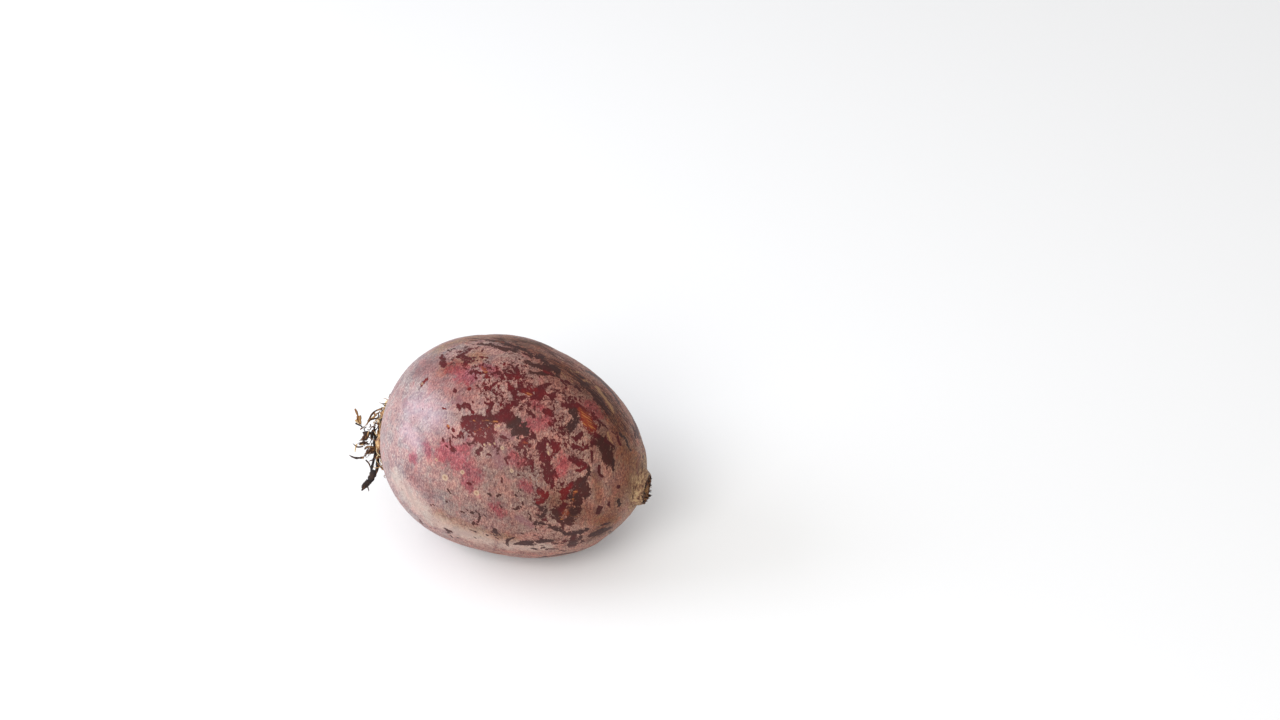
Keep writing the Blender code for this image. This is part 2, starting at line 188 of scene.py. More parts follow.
MAROON = (
    (0.9, (441, 358), (443, 366)), (0.5, (441, 355), (449, 353.5)),
    (0.6, (457, 357), (464, 355), (467, 353)), (1.1, (463, 357), (470, 361), (466, 363)),
    (0.4, (470, 360), (480, 357), (487, 358)), (0.3, (482, 351), (482.5, 358)),
    (0.3, (471, 363), (477, 362)), (0.7, (473, 370), (480, 373), (485, 374)),
    (0.4, (476, 378), (478, 374)), (0.8, (494, 373), (499, 374)), (0.9, (501, 378), (503, 379)),
    (0.6, (490, 389), (494, 385), (498, 382)), (0.3, (488, 381), (492, 385)),
    (1.3, (508, 374), (511, 375)), (1.1, (516, 370), (520, 377), (525, 378)),
    (0.4, (505, 364), (512, 366)), (0.4, (516, 366), (525, 367)), (0.4, (530, 379), (537, 378)),
    (0.9, (509, 383), (512, 388)), (1.6, (514, 391), (515, 397)), (0.8, (520, 384), (521, 390)),
    (0.9, (520, 390), (527, 390)), (1.3, (540, 390), (537, 397)), (0.8, (541, 386), (548, 384)),
    (0.5, (545, 394), (550, 398)), (1.1, (553, 397), (554, 398)), (0.8, (525, 397), (524, 401)),
    (0.7, (531, 400), (535, 398)), (0.5, (497, 394), (502, 398)), (0.4, (485, 399), (486, 399)),
    (0.5, (472, 401), (474, 401)), (0.6, (500, 401), (501, 403)), (0.5, (455, 392), (456, 392)),
    (0.7, (487, 404), (490, 408), (488, 412)), (0.5, (486, 403), (493, 404.5)),
    (1.1, (510, 402), (516, 405)), (1.3, (508, 407), (504, 413)),
    (1.7, (466, 420), (480, 418), (497, 418), (510, 418)), (1.6, (465, 426), (478, 427), (492, 430)),
    (0.9, (472, 431), (480, 433)), (0.7, (458, 407), (459, 409)), (0.8, (464, 404), (468, 406)),
    (0.6, (470, 408), (474, 412)), (1.3, (476, 437), (484, 440)), (1.3, (487, 433), (490, 436)),
    (0.9, (478, 441), (487, 443)), (0.4, (464, 443), (472, 440)), (0.4, (468, 437), (473, 436)),
    (0.5, (454, 437), (459, 439)), (0.7, (452, 440), (452, 444)), (1, (452, 447), (454, 448)),
    (0.5, (455, 428), (456, 430)), (0.5, (461, 434), (463, 436)), (0.3, (443, 439), (444, 441)),
    (0.3, (445, 444), (447, 444.5)), (0.8, (479, 451), (482, 449)), (0.4, (488, 456.5), (490, 457)),
    (0.5, (491, 444), (493, 446), (497, 446)), (0.6, (501, 438), (505, 437)),
    (0.6, (505, 457), (508, 458)), (0.3, (506, 463), (506.5, 463)), (0.4, (528, 458.5), (529, 459)),
    (0.5, (520, 462.5), (521, 463)), (0.5, (525, 463.5), (527, 464)), (0.6, (533, 462), (534, 465)),
    (0.4, (532, 468), (534, 468)), (0.9, (518, 447), (523, 443)), (1.1, (528, 438), (534, 437)),
    (0.7, (524, 441), (528, 446)), (0.6, (526, 412), (531, 412)), (0.8, (528, 414), (534, 418)),
    (1.3, (545, 411), (551, 414)), (0.6, (554, 418), (553, 424)), (0.5, (551, 424), (554, 425)),
    (0.4, (554, 407), (555, 409)), (0.3, (551, 430), (555, 430.5)), (1.6, (545, 442), (541, 449)),
    (1.9, (542, 451), (548, 460)), (1.4, (547, 464), (549, 467)), (1.3, (554, 441), (556, 447)),
    (0.6, (555, 450), (553, 456)), (0.5, (541, 467), (546, 469)), (1.6, (547, 473), (552, 477)),
    (0.5, (555, 472), (557, 477)), (0.9, (548, 481), (553, 485)), (0.8, (561, 433), (563, 433)),
    (0.4, (567, 431), (568, 433)), (0.6, (560, 427), (561.5, 429)), (0.8, (574, 437), (582, 435)),
    (0.8, (574, 446), (577, 446)), (0.6, (564, 444), (566, 447)), (1.4, (575, 460), (580, 462)),
    (1.1, (582, 463), (586, 467)), (0.6, (577, 469), (583, 469)), (0.6, (592, 453), (594, 459)),
    (0.6, (600, 467), (601, 475), (603, 478)), (0.9, (591, 414), (596, 418)),
    (0.6, (599, 421), (603, 426)), (0.5, (600, 425), (600, 430)), (0.9, (595, 435), (600, 437)),
    (1.3, (590, 443), (596, 441)), (0.9, (583, 449), (588, 446)), (0.9, (609, 441), (614, 447)),
    (0.8, (617, 437), (619, 444)), (0.4, (613, 432), (617, 433)), (1.4, (566, 405), (573, 406)),
    (1.6, (576, 405), (582, 411)), (0.9, (572, 400), (575, 403)), (0.4, (563, 399), (565, 402)),
    (0.6, (563, 381), (566, 385)), (0.7, (568, 382), (571, 384)), (0.8, (577, 388), (580, 391)),
    (0.4, (556, 390), (558, 391)), (0.8, (601, 508), (598, 512)), (0.8, (610, 503), (612, 504)),
    (0.5, (621, 484), (620, 487)), (1.3, (562, 505), (560, 512)), (0.5, (468, 482), (471, 483)),
)
RED = (
    (0.7, (470, 387), (470, 390)), (0.6, (486, 376), (488, 377)), (0.8, (545, 372), (552, 375)),
    (0.9, (524, 391), (536, 390)), (0.6, (526, 393), (530, 393)), (0.7, (423, 383), (427, 380)),
    (2.2, (586, 416), (590, 426)), (0.4, (442, 409), (447, 409)), (0.5, (447, 425), (448, 428)),
    (0.9, (537, 501), (541, 499)), (1.1, (541, 494), (545, 495)), (0.9, (563, 497), (567, 494)),
    (0.9, (565, 492), (569, 488)), (0.8, (571, 484), (569, 489)),
)
ORANGE = (
    (0.6, (431, 380), (432, 381)), (0.6, (448, 424), (449, 426)), (0.5, (474, 421), (496, 420)),
    (0.5, (474, 429), (500, 427)), (0.8, (527, 392), (530, 393)), (1.9, (583, 414), (590, 426)),
    (1.3, (530, 480), (543, 480)), (1.3, (564, 513), (578, 521)), (0.6, (574, 492), (572, 500)),
    (0.8, (482, 368), (485, 371)), (0.5, (555, 540), (556, 541)), (0.8, (495, 341), (503, 343)),
    (0.6, (525, 443), (526, 444)), (0.9, (562, 516), (568, 513)),
)
PALE = (
    (1, (596, 387), (602, 394), (609, 404), (612, 410)), (0.4, (585, 381), (590, 382.5)),
    (0.4, (549, 443), (549, 452)), (0.4, (562, 362), (571, 370), (581, 373)),
    (0.3, (577, 364), (582, 371)), (0.4, (563, 374), (572, 381)), (0.5, Place(47, 57), Place(46.5, 80)),
    (0.6, (608, 434), (613, 443)), (0.3, (486, 444), (496, 442)), (0.5, (497, 427), (500, 426)),
)

# Rubbed areas, where small flakes of the scurf have come off.
RUBBED = (
    (6.3, (505, 372), (540, 392)), (4.4, (485, 385), (500, 400)), (4.4, (555, 395), (575, 400)),
    (3.8, (510, 410), (530, 405)), (4.4, (560, 425), (575, 450)), (3.8, (525, 450), (530, 470)),
    (5, (565, 490), (570, 515)), (3.8, (540, 500), (545, 520)), (3.2, (590, 425), (600, 440)),
    (3.2, (480, 440), (500, 445)), (3.8, (500, 345), (530, 355)), (2.5, (450, 358), (480, 365)),
    (3.2, (545, 540), (575, 540)), (3.8, (470, 366), (500, 372)), (2.8, (455, 352), (480, 350)),
)

# Tints of the scurf, with soft edges.
PLUM = (
    (0.9, (459, 396), (461, 400)), (0.8, (452, 402), (458, 403)), (1, (406, 484), (413, 498)),
    (0.9, (436, 528), (455, 533)), (1.6, (450, 531), (470, 534)), (2.2, (495, 445), (500, 465)),
    (1.4, (503, 438), (513, 436)), (1.6, (520, 517), (530, 525)), (1.3, (405.5, 401), (405.5, 406)),
    (0.5, (422, 392), (419, 399)), (1.3, (598, 470), (600, 478)),
)
BLUSH = (
    (3.8, (444, 452), (462, 462)), (2.8, (462, 466), (474, 474)), (2.8, (452, 368), (470, 380)),
    (1.9, (486, 366), (496, 374)), (1.6, Place(-14, 58), Place(-12.5, 61)), (2.5, (530, 424), (545, 420)),
    (1.9, (537, 405), (540, 410)), (2.2, (512, 455), (518, 462)), (2.5, (565, 462), (560, 470)),
    (1.6, (523, 485), (530, 490)), (2.2, (460, 450), (468, 444)), (1.6, (413, 460), (414, 458)),
    (1.6, (470, 486), (466, 482)), (2.5, (590, 405), (598, 415)), (2.2, (495, 505), (500, 512)),
)
TAN = (
    (4.4, (612, 415), (622, 432)), (3.8, Place(42, 19), Place(45.5, 21)),
    (3.2, Place(45, 63), Place(47.5, 114)), (2.5, (600, 520), (615, 520)), (2.5, (545, 345), (525, 342)),
    (3.2, (440, 515), (470, 530), (510, 540)), (2.5, (560, 365), (580, 378)),
    (4.1, Place(-22, -10), Place(-12, -22), Place(-2, -25), Place(8, -28)), (3.5, (446, 368), (478, 357)),
)
SAND = (
    (6.3, (440, 500), (474, 516), (512, 524)), (5.7, (486, 478), (528, 482)),
    (4.4, (500, 500), (548, 508)), (3.8, (418, 372), (436, 360)),
)
ROSY = (
    (5, Place(-24, 8), Place(-14, 16)), (4.4, Place(-16, 20), Place(-6, 26)),
    (3.2, Place(-19, 76), Place(-12, 84)),
)
DUSTY = (
    (4.4, Place(-24, 88), Place(-14, 101)), (4.4, Place(-12, 106), Place(6, 111)),
    (3.2, Place(12, 114), Place(24, 114)),
)
# Painted sheen: a pale lilac highlight painted on the flank near the crown, on the seen side only.
PAINTED_SHEEN = (
    (5.5, Place(-21, 38), Place(-13, 42)), (3.8, Place(-22, 52), Place(-18, 56)),
)
STREAKS = (
    (2.5, (606, 410), (618, 428)), (1.9, (620, 422), (634, 442)), (2.5, (545, 345), (520, 342)),
    (2.5, (550, 352), (575, 366)), (1.9, (470, 341), (500, 340)), (1.6, (592, 538), (604, 533)),
    (3, Place(16, -14), Place(30, -10)), (2.5, Place(28, -20), Place(38, -22)),
)
# Painted shade: darker strokes over the right side, the top edge and the lower right, partly a browner skin
# there. The hidden side gets shifted copies.
PAINTED_SHADE = (
    (7.6, (560, 370), (600, 400), (620, 430)), (4.4, (520, 345), (550, 360)),
    (7.6, (610, 440), (630, 470)), (5, (620, 490), (600, 530)), (4.4, (556, 500), (596, 516)),
    (2.8, (500, 340), (540, 346)), (2.2, Place(37.5, 58), Place(39, 80)),
)

# Corky pores: radius, then the place.
SPOTS = (
    (1, (445.3, 477.6)), (0.7, (462.2, 472.7)), (0.9, (476, 493.7)), (0.6, (503.3, 448)),
    (0.5, (437, 460)), (0.5, (423, 384)), (0.6, (511.8, 471.3)),
)

# Dried stalks: tone from black (0) to cream (1), width, thickness, fibres in the strand, then its points in
# pixels across and down, each so far nearer to the camera than the crown. No fibres make one flat strip.
CROWN_MIDDLE = np.array((-42.0, -3.2, -5.0))
DARK_STRANDS = (
    (0.04, 1.07, 0.76, 0, (379.5, 449, 0), (377.4, 456, 1.5), (377.6, 462, 2.4), (377.4, 467, 3),
     (376.2, 472, 3), (374, 476, 3), (371.4, 480, 3)),
    (0.04, 0.69, 0.57, 0, (376, 450, 0), (374, 458, 1.5), (373, 464, 2), (371.8, 469, 2.5),
     (371.2, 474, 3), (370, 479, 3), (368.4, 482.5, 3)),
    (0.05, 1.70, 0.76, 0, (375.2, 470.4, 2.9), (373.6, 473.6, 3), (371.6, 477.4, 3), (369.4, 481.4, 3),
     (367.8, 484, 3)),
    (0.04, 1.70, 0.69, 0, (369, 481, 3), (366.6, 483.2, 3), (364.2, 485.6, 3), (361.8, 488, 3)),
    (0.06, 0.82, 0.57, 0, (365, 485.6, 3), (363.4, 488, 3), (361.6, 490.6, 3)),
    (0.15, 0.41, 0.32, 0, (366.8, 484, 3), (367.8, 487.4, 3.2), (368.7, 491.4, 3.4)),
    (0.2, 0.41, 0.35, 0, (377.6, 463.6, 3.4), (380.4, 466.6, 4), (384, 470.8, 5)),
    (0.2, 0.35, 0.32, 0, (365.8, 460, 1), (368.4, 462.8, 1.5), (370.2, 466.6, 2), (371, 470.4, 2.5)),
    (0.25, 0.28, 0.25, 0, (373.4, 460, 1.8), (371, 460.4, 1.6), (368.6, 461.4, 1.4)),
    (0.22, 0.57, 0.47, 0, (363.5, 457.5, 1), (360, 457.9, 1), (356, 458, 1), (352, 456.8, 1),
     (349, 455, 1)),
    (0.62, 0.82, 0.32, 3, (365, 455.8, 1.2), (362.8, 457.6, 1.2), (363.2, 461, 1.2)),
    (0.36, 2.08, 1.07, 30, (379, 447.6, 0.4), (375, 449.6, 1), (371, 450.6, 1.6), (368.4, 452.6, 2),
     (366.6, 455.6, 2), (364.8, 458.6, 2)),
    (0.5, 0.82, 0.50, 8, (377, 447, 1.2), (372, 447, 1.6), (368, 446.8, 1.8), (365.8, 447.6, 1.8)),
    (0.08, 1.45, 0.76, 8, (381, 447.6, 0.4), (377.6, 448.4, 1.2), (375.4, 451, 1.6), (375, 455, 1.8)),
    (0.3, 1.32, 0.79, 16, (380, 449, 0.6), (377.6, 454.4, 1.6), (375.6, 457.4, 2), (373.6, 459.4, 2.2)),
    (0.36, 0.76, 0.50, 7, (380.6, 448.6, 1), (380.6, 453.6, 2.2), (381.4, 458, 2.8), (382, 462, 3.2)),
    (0.25, 0.63, 0.44, 0, (368.6, 446.8, 1.2), (366, 447.4, 1.2), (364.4, 449.6, 1.2)),
    (0.14, 1.39, 0.82, 14, (375.8, 427.6, -0.2), (373.4, 431.6, 0.6), (372.6, 436, 1), (371.4, 440, 1),
     (369.6, 443.4, 1)),
    (0.3, 0.57, 0.38, 3, (373.4, 429.6, 0.8), (371.2, 432.6, 1.2), (370.8, 437, 1.4), (371, 440.6, 1.4)),
    (0.03, 0.88, 0.63, 0, (376.4, 434, 0.4), (375.2, 438, 0.8), (374.2, 442.4, 0.8), (374.8, 446.4, 0.6),
     (377, 449.6, 0.6)),
    (0.12, 0.35, 0.28, 0, (371.8, 442.6, 1.2), (371.4, 446, 1.2)),
    (0.27, 1.51, 0.32, 0, (365.2, 431.4, 1), (365.6, 434.6, 1.5), (364.4, 437.6, 1.8), (361.4, 440.4, 2)),
    (0.2, 0.95, 0.38, 5, (364.6, 436.6, 2), (361, 440, 2), (357.6, 441, 2)),
    (0.58, 0.57, 0.28, 0, (369.6, 431.6, 1.6), (367.9, 434.4, 2), (367.6, 438, 2)),
    (0.1, 0.44, 0.32, 0, (370, 432, 1.8), (368.4, 436, 2.2), (366.4, 440.8, 2)),
    (0.3, 1.32, 0.57, 12, (368.6, 443.4, 1), (365, 443.4, 1.6), (361, 443.4, 2), (357.6, 444.6, 2)),
    (0.62, 0.63, 0.32, 4, (363.4, 444.6, 2.2), (360.4, 445.4, 2.4), (358.4, 445.6, 2.4)),
    (0.2, 0.38, 0.32, 0, (363, 446.2, 2), (359, 446.6, 2), (355.8, 445.8, 2), (352.6, 443.2, 2)),
    (0.85, 0.44, 0.25, 0, (356.6, 444, 2), (355.6, 448, 2), (354.8, 452.4, 2)),
    (0.1, 0.76, 0.50, 5, (378.6, 423.6, -0.6), (376, 423.6, -0.6), (374.4, 425.6, -0.4),
     (375.8, 427.8, -0.2), (378.6, 427, 0)),
    (0.3, 0.32, 0.25, 0, (375, 427.4, 0), (372, 427.2, 0), (369.6, 430, 0), (366.8, 429, 0)),
    (0.25, 0.28, 0.25, 0, (370.4, 424, -0.6), (370.6, 426.4, -0.4), (368.4, 427.6, -0.2)),
)
TAN_STRANDS = (
    (0.34, 0.60, 0.44, 5, (384.4, 407.4, -2.8), (380, 409, -3), (376, 410.6, -3), (373.6, 412.8, -2.8),
     (371, 416, -2.6), (368.4, 420, -2.2), (366.6, 423.6, -1.6), (364, 427, -1.2)),
    (0.62, 0.69, 0.38, 8, (380.6, 412, -2.8), (376.6, 414, -2.6), (373.6, 416.6, -2.4),
     (370.6, 419, -2.2), (368, 423, -1.6), (365, 427, -1.2)),
    (0.32, 0.44, 0.32, 4, (380, 415.6, -2.4), (377.4, 418.2, -2.2), (374, 418.8, -2), (370.8, 419.6, -2),
     (368.8, 422.4, -1.4), (366.6, 426.4, -1), (363.4, 428.4, -0.8)),
    (0.45, 0.28, 0.25, 0, (374.6, 411.4, -2.8), (374.8, 414.6, -2.4), (374.4, 418.6, -2)),
    (0.4, 0.28, 0.25, 0, (371.2, 414.4, -2.6), (370.4, 417, -2.4), (371, 419.4, -2)),
    (0.16, 0.63, 0.44, 5, (381.6, 408, -2.6), (381.6, 412.6, -2.4), (380.6, 417, -2), (379.8, 422, -1.4),
     (379, 427, -0.8), (379.4, 431, -0.2)),
    (0.14, 0.35, 0.28, 0, (377.8, 412.8, -2.6), (378.6, 416, -2.2), (377, 419.6, -1.8),
     (376.6, 423, -1.2)),
    (0.6, 1.14, 0.38, 0, (358.4, 415.8, 0), (359.4, 419, -0.2), (360, 422, -0.5), (361.6, 424.6, -0.8)),
    (0.46, 0.54, 0.35, 0, (355, 408.8, 0.6), (356.4, 412.4, 0.3), (357.6, 416, 0), (357.8, 419.4, -0.1)),
    (0.4, 0.38, 0.28, 0, (357.8, 416, 0.2), (357.4, 419.4, 0), (358.8, 422.4, -0.3), (361, 424.6, -0.6)),
    (0.85, 0.41, 0.25, 0, (356.2, 420.6, 0.2), (357.4, 422.2, 0), (359.6, 423.8, -0.3)),
    (0.7, 0.47, 0.32, 0, (357.6, 420, 0), (355.8, 420.2, 0.2), (354.8, 421.4, 0.4)),
    (0.12, 0.44, 0.35, 0, (355.6, 423, 0), (358.4, 424.8, -0.4), (361.4, 426.2, -0.7),
     (362.8, 428.4, -0.9)),
    (0.42, 0.76, 0.44, 4, (366, 426, -1), (363.6, 428, -0.9), (361.6, 427, -0.8)),
    (0.3, 0.38, 0.28, 0, (362.6, 427.6, -0.8), (361, 429, -0.6), (360.2, 430.2, -0.5)),
    (0.1, 0.38, 0.32, 0, (364, 429.4, 0.4), (365.2, 431.4, 0.8)),
)

# Torn bark and fibres on the seen side of the collar: tone, width, thickness, then points.
COLLAR_STRANDS = (
    (0.35, 0.32, 0.25, (390.4, 394.6, -2.6), (389.4, 397.4, -2.4), (388.3, 400.4, -2.2)),
    (0.9, 0.47, 0.28, (388.6, 400, -2), (386.4, 402, -2.2), (385.2, 405, -2.2), (385.2, 409, -2)),
    (0.8, 0.38, 0.28, (387.6, 401, -1.6), (386.8, 405, -1.8), (386.6, 410, -1.6)),
    (0.82, 0.63, 0.32, (384.6, 407, -2.2), (384.4, 413, -1.8), (383.6, 419, -1.4), (384.2, 425, -0.8),
     (384.6, 431, -0.2)),
    (0.7, 0.47, 0.32, (382.8, 411, -2), (381.6, 416, -1.6), (381.4, 421, -1.2), (382.6, 425, -0.6),
     (383.6, 430, 0)),
    (0.9, 0.50, 0.32, (385.6, 412, -1.4), (385.2, 420, -0.8), (385.4, 428, -0.2), (385.6, 434, 0.4)),
    (0.22, 0.38, 0.28, (383.4, 409, -1.6), (383.5, 412, -1.4)),
    (0.25, 0.44, 0.28, (382.4, 416.6, -1.2), (383.6, 418.4, -1)),
    (0.26, 0.41, 0.28, (383.3, 424, -0.4), (383.5, 429.4, 0.2)),
    (0.3, 0.28, 0.25, (381.6, 426, -0.4), (381.7, 430, 0)),
    (0.06, 0.50, 0.32, (385, 433.4, 1), (384, 436, 1.2), (382.6, 438.2, 1.4), (382.9, 440, 1.5)),
    (0.3, 0.32, 0.25, (382.6, 439.4, 1.5), (382.2, 443, 1.8), (381.8, 447.4, 2)),
    (0.7, 0.50, 0.32, (377.4, 434, 0.6), (379.6, 433.4, 0.8), (381.4, 434.4, 0.8)),
    (0.5, 0.41, 0.28, (377, 435.6, 0.8), (378.8, 436.4, 1.2), (379.2, 438.6, 1.4), (378, 439.8, 1.4)),
    (0.35, 0.47, 0.28, (376.4, 435.4, 0.8), (377.4, 437.4, 1.2)),
    (0.78, 0.88, 0.38, (378, 436, 0.8), (379.6, 440, 1.2), (380.2, 444, 1.4), (380.8, 447.4, 1.6)),
    (0.66, 0.63, 0.38, (376.8, 441, 0.8), (378.4, 443.6, 1.2), (379.8, 447, 1.6)),
    (0.3, 0.32, 0.25, (386.2, 460, 3), (388, 463.6, 3.4), (389.8, 467.4, 3.8)),
    (0.85, 0.38, 0.28, (382.4, 455, 2), (384, 461, 2.6), (386, 467, 3.2)),
)
FLAT_FACING = Vector((0.26, -0.75, 0.61))
STRAND_STEP = 0.28
STRIP_SHARE = 1.25
STRAND_SEED = 5
HEART_FIBRES = 150
HEART_RADIUS = 4.3
FIBRE_DRIFT = (0.55, 0.45)
ROOTLETS = 110
TAIL_FIBRES = 90
TORN_TIP_ANGLE = radians(-62)

# Rings of cork scales: radius, how many, and their width.
SCALE_RINGS = ((6.3, 26, 1.5), (7.4, 30, 1.5), (8.6, 34, 1.7), (9.7, 36, 1.9), (10.8, 26, 1.6))

# Colours along a strand's tone, as display values.
STRAND_TONES = (
    (0.0, (26, 18, 19)),
    (0.2, (54, 37, 29)),
    (0.4, (110, 66, 38)),
    (0.6, (154, 112, 68)),
    (0.8, (200, 166, 118)),
    (1.0, (234, 214, 174)),
)

# A stroke's strength in its middle, and how far noise bends the marks.
STROKE_CORE = 1.25
WARP = 0.9
FINE_WARP = 0.45
NOISE_SEED = 4

# Each kind of worn mark: its tone, from nearly black to red, and how many flecks the hidden side gets.
TONES = ((DARK, 0.0, 25), (BROWN, 0.33, 25), (MAROON, 0.66, 25), (RED, 1.0, 2))
RUB_TONE = 0.6
RUB_WEIGHT = 0.02

# Each kind of soft area, and how many more of it the hidden side gets. Of the areas, the first is painted
# shade.
TINTS = ((BLUSH, 3), (TAN, 3), (PLUM, 4), (SAND, 3))
AREAS = ((PAINTED_SHADE, 0), (RUBBED, 11), (STREAKS, 2))

# The hidden side has marks of the same hand: each is shifted and turned to the far side.
FAR_TURN = 180
FAR_TURN_SPREAD = 14
FAR_SHIFT = 5
FAR_SQUEEZE = 0.92
FAR_SEED = 23

# Its crown half gets more marks: where they start, how far they run along the root and round it, their
# half widths, and how rare the wide ones are.
Hidden = namedtuple("Hidden", "along turn length bend narrow wide rarity")
FLECK = Hidden((-35, -6), (105, 330), 2.5, 7, 0.2, 1.0, 3)
AREA = Hidden((-32, -4), (140, 315), 7, 16, 2.5, 5.5, 1)


def linear(red, green, blue):
    """A colour given as display values from 0 to 255, for a shader."""
    parts = [part / 255 for part in (red, green, blue)]
    return tuple(part / 12.92 if part < 0.04045 else ((part + 0.055) / 1.055) ** 2.4 for part in parts)


def solid_tree(node):
    """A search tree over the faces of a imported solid."""
    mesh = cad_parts[node].data
    corners = [vertex.co for vertex in mesh.vertices]
    return BVHTree.FromPolygons(corners, [tuple(face.vertices) for face in mesh.polygons])


def pixel_offset(across, down):
    """How far a pixel lies from the photograph's middle, for each millimetre of distance."""
    return (RIGHT * (across - PHOTO_WIDTH / 2) + UP * (PHOTO_HEIGHT / 2 - down)) * PIXEL_SLOPE


def seen_place(across, down):
    """The place on the root that the photograph shows at a pixel, to half a millimetre and one degree."""
    direction = pixel_offset(across, down) - BACK
    hit = ROOT_TREE.ray_cast(Vector((CAMERA_PLACE + SET_DOWN) * MM), Vector(direction))[0]
    x, y, z = np.array(hit) / MM - SET_DOWN
    return Place(round(x * 2) / 2, round(degrees(atan2(-y, z))))


def seen_point(across, down, nearer):
    """The point at a pixel, so many millimetres nearer than the crown's middle, to a tenth of one."""
    depth = (CROWN_MIDDLE - AIM) @ BACK + nearer
    return np.round(AIM + pixel_offset(across, down) * (CAMERA_DISTANCE - depth) + BACK * depth, 1)


def on_root(mark):
    """A mark with all its points as places on the root."""
    half_width, *path = mark
    return (half_width, *[point if isinstance(point, Place) else seen_place(*point) for point in path])


def swell_radius(x):
    """Radius of the swollen root at places along it."""
    crown = np.clip(1 - (np.maximum(-x, 0) / CROWN_LENGTH) ** CROWN_ROUNDNESS, 0, 1) ** (1 / CROWN_ROUNDNESS)
    tail = np.clip(1 - (np.maximum(x, 0) / TAIL_LENGTH) ** TAIL_SHOULDER, 0, 1) ** TAIL_FULLNESS
    return SWELL_RADIUS * np.where(x < 0, crown, tail)


def lobes(x, angle):
    """Height of the soft lobes that run along the root."""
    return LOBE_HEIGHT * (np.cos(3 * angle + 0.5 + x / 40) + 0.7 * np.cos(5 * angle - 1 - x / 30))


def dips(x, angle):
    """Depth of the hollows at a place, less the height of the swellings."""
    return sum(depth * max(1 - ((x - place) / length) ** 2, 0) * np.maximum(np.cos(angle - facing), 0)
               for depth, place, length, facing in DIPS)


def around():
    """The angles of the points of a ring, counted from +Y toward +Z."""
    return np.arange(ROUND) * 2 * pi / ROUND


def crown_face(y, z):
    """Place along the root of its swollen crown end, under the collar."""
    left = 1 - np.minimum(np.hypot(y, z) / SWELL_RADIUS, 1) ** CROWN_ROUNDNESS
    return -CROWN_LENGTH * left ** (1 / CROWN_ROUNDNESS)


def crown_ring(centre, radius, height, wave):
    """A ring on the crown end, raised over it, with a torn edge where wave isn't 0."""
    angle = around()
    torn = wave * (np.sin(5 * angle + 0.6) + 0.6 * np.sin(11 * angle + 2.0))
    y = centre[0] + (radius + 0.5 * torn) * np.cos(angle)
    z = centre[1] + (radius + 0.5 * torn) * np.sin(angle)
    face = crown_face(y, z)
    spread = 1 + lobes(face, angle) * (y ** 2 + z ** 2) / SWELL_RADIUS ** 3
    return np.stack((face - height - torn, y * spread, z * spread), 1)


def body_ring(x):
    """A ring across the root, between its crown end and its broken end."""
    angle = around()
    swell = float(swell_radius(np.array(x)))
    back = min(max((STUB_END - x) / STUB_FLARE_LENGTH, 0), 1)
    stub = STUB_RADIUS + STUB_FLARE * back ** STUB_FLARE_CURVE if x > TAIL_LENGTH / 2 else 0
    weight = stub ** STUB_BLEND / (swell ** STUB_BLEND + stub ** STUB_BLEND)
    radius = (swell ** STUB_BLEND + stub ** STUB_BLEND) ** (1 / STUB_BLEND)
    offset = TAIL_OFFSET * (max(x, 0) / TAIL_LENGTH) ** TAIL_DROP
    offset = offset * (1 - weight) + STUB_OFFSET * weight
    reach = radius + lobes(x, angle) * (radius / SWELL_RADIUS) ** 2 - dips(x, angle)
    near = max(1 - (STUB_END - x) / 3, 0)
    place = x + BREAK_SLANT * near * np.cos(angle - BREAK_HIGH_ANGLE)
    return np.stack((place, offset[0] + reach * np.cos(angle), offset[1] + reach * np.sin(angle)), 1)


def round_ring(place, centre, radius):
    """A round ring at a place along the root, or at a place for each of its points."""
    angle = around()
    places = np.broadcast_to(place, ROUND)
    return np.stack((places, centre[0] + radius * np.cos(angle), centre[1] + radius * np.sin(angle)), 1)


def break_ring(radius):
    """A ring on the broken end of the tap root."""
    angle = around()
    ragged = 0.25 * np.sin(4 * angle + 1.0) + 0.15 * np.sin(7 * angle)
    slant = BREAK_SLANT * np.cos(angle - BREAK_HIGH_ANGLE) * radius / STUB_RADIUS
    step = np.interp(radius, BREAK_RADII, BREAK_STEPS) + ragged
    return round_ring(STUB_END + step * min((STUB_RADIUS - radius) / 0.8, 1) + slant, STUB_OFFSET, radius)


def collar_rings():
    """Rings over the corky collar, from its hollow to the swollen root."""
    rings = []
    for radius in np.arange(COLLAR_RADII[0], COLLAR_RADII[-1], COLLAR_STEP):
        share, height, wave = [np.interp(radius, COLLAR_RADII, values)
                               for values in (COLLAR_SHARES, COLLAR_HEIGHTS, COLLAR_WAVES)]
        centre = HOLLOW_CENTRE * (1 - share) + COLLAR_CENTRE * share
        rings.append(crown_ring(centre, radius, height, wave * COLLAR_WAVE))
    return rings


def crown_rings():
    """Rings over the crown end, from the collar out to where the body rings begin."""
    first = COLLAR_RADII[-1]
    rings = []
    inward = (1 - np.linspace(0, 1, CLOSE_CROWN_RINGS)) ** CLOSE_CROWN_SPACING
    for radius in CROWN_EDGE - (CROWN_EDGE - first) * inward:
        share = min((radius - first) / (CENTRED_RADIUS - first), 1)
        rings.append(crown_ring(COLLAR_CENTRE * (1 - share), radius, COLLAR_HEIGHTS[-1] * (1 - share), 0))
    return rings


def thinned(rings, step):
    """Of closely spaced rings, those that lie about a step apart."""
    kept = [rings[0]]
    for ring in rings[1:-1]:
        if np.linalg.norm(ring - kept[-1], axis=1).max() >= step:
            kept.append(ring)
    return kept + [rings[-1]]


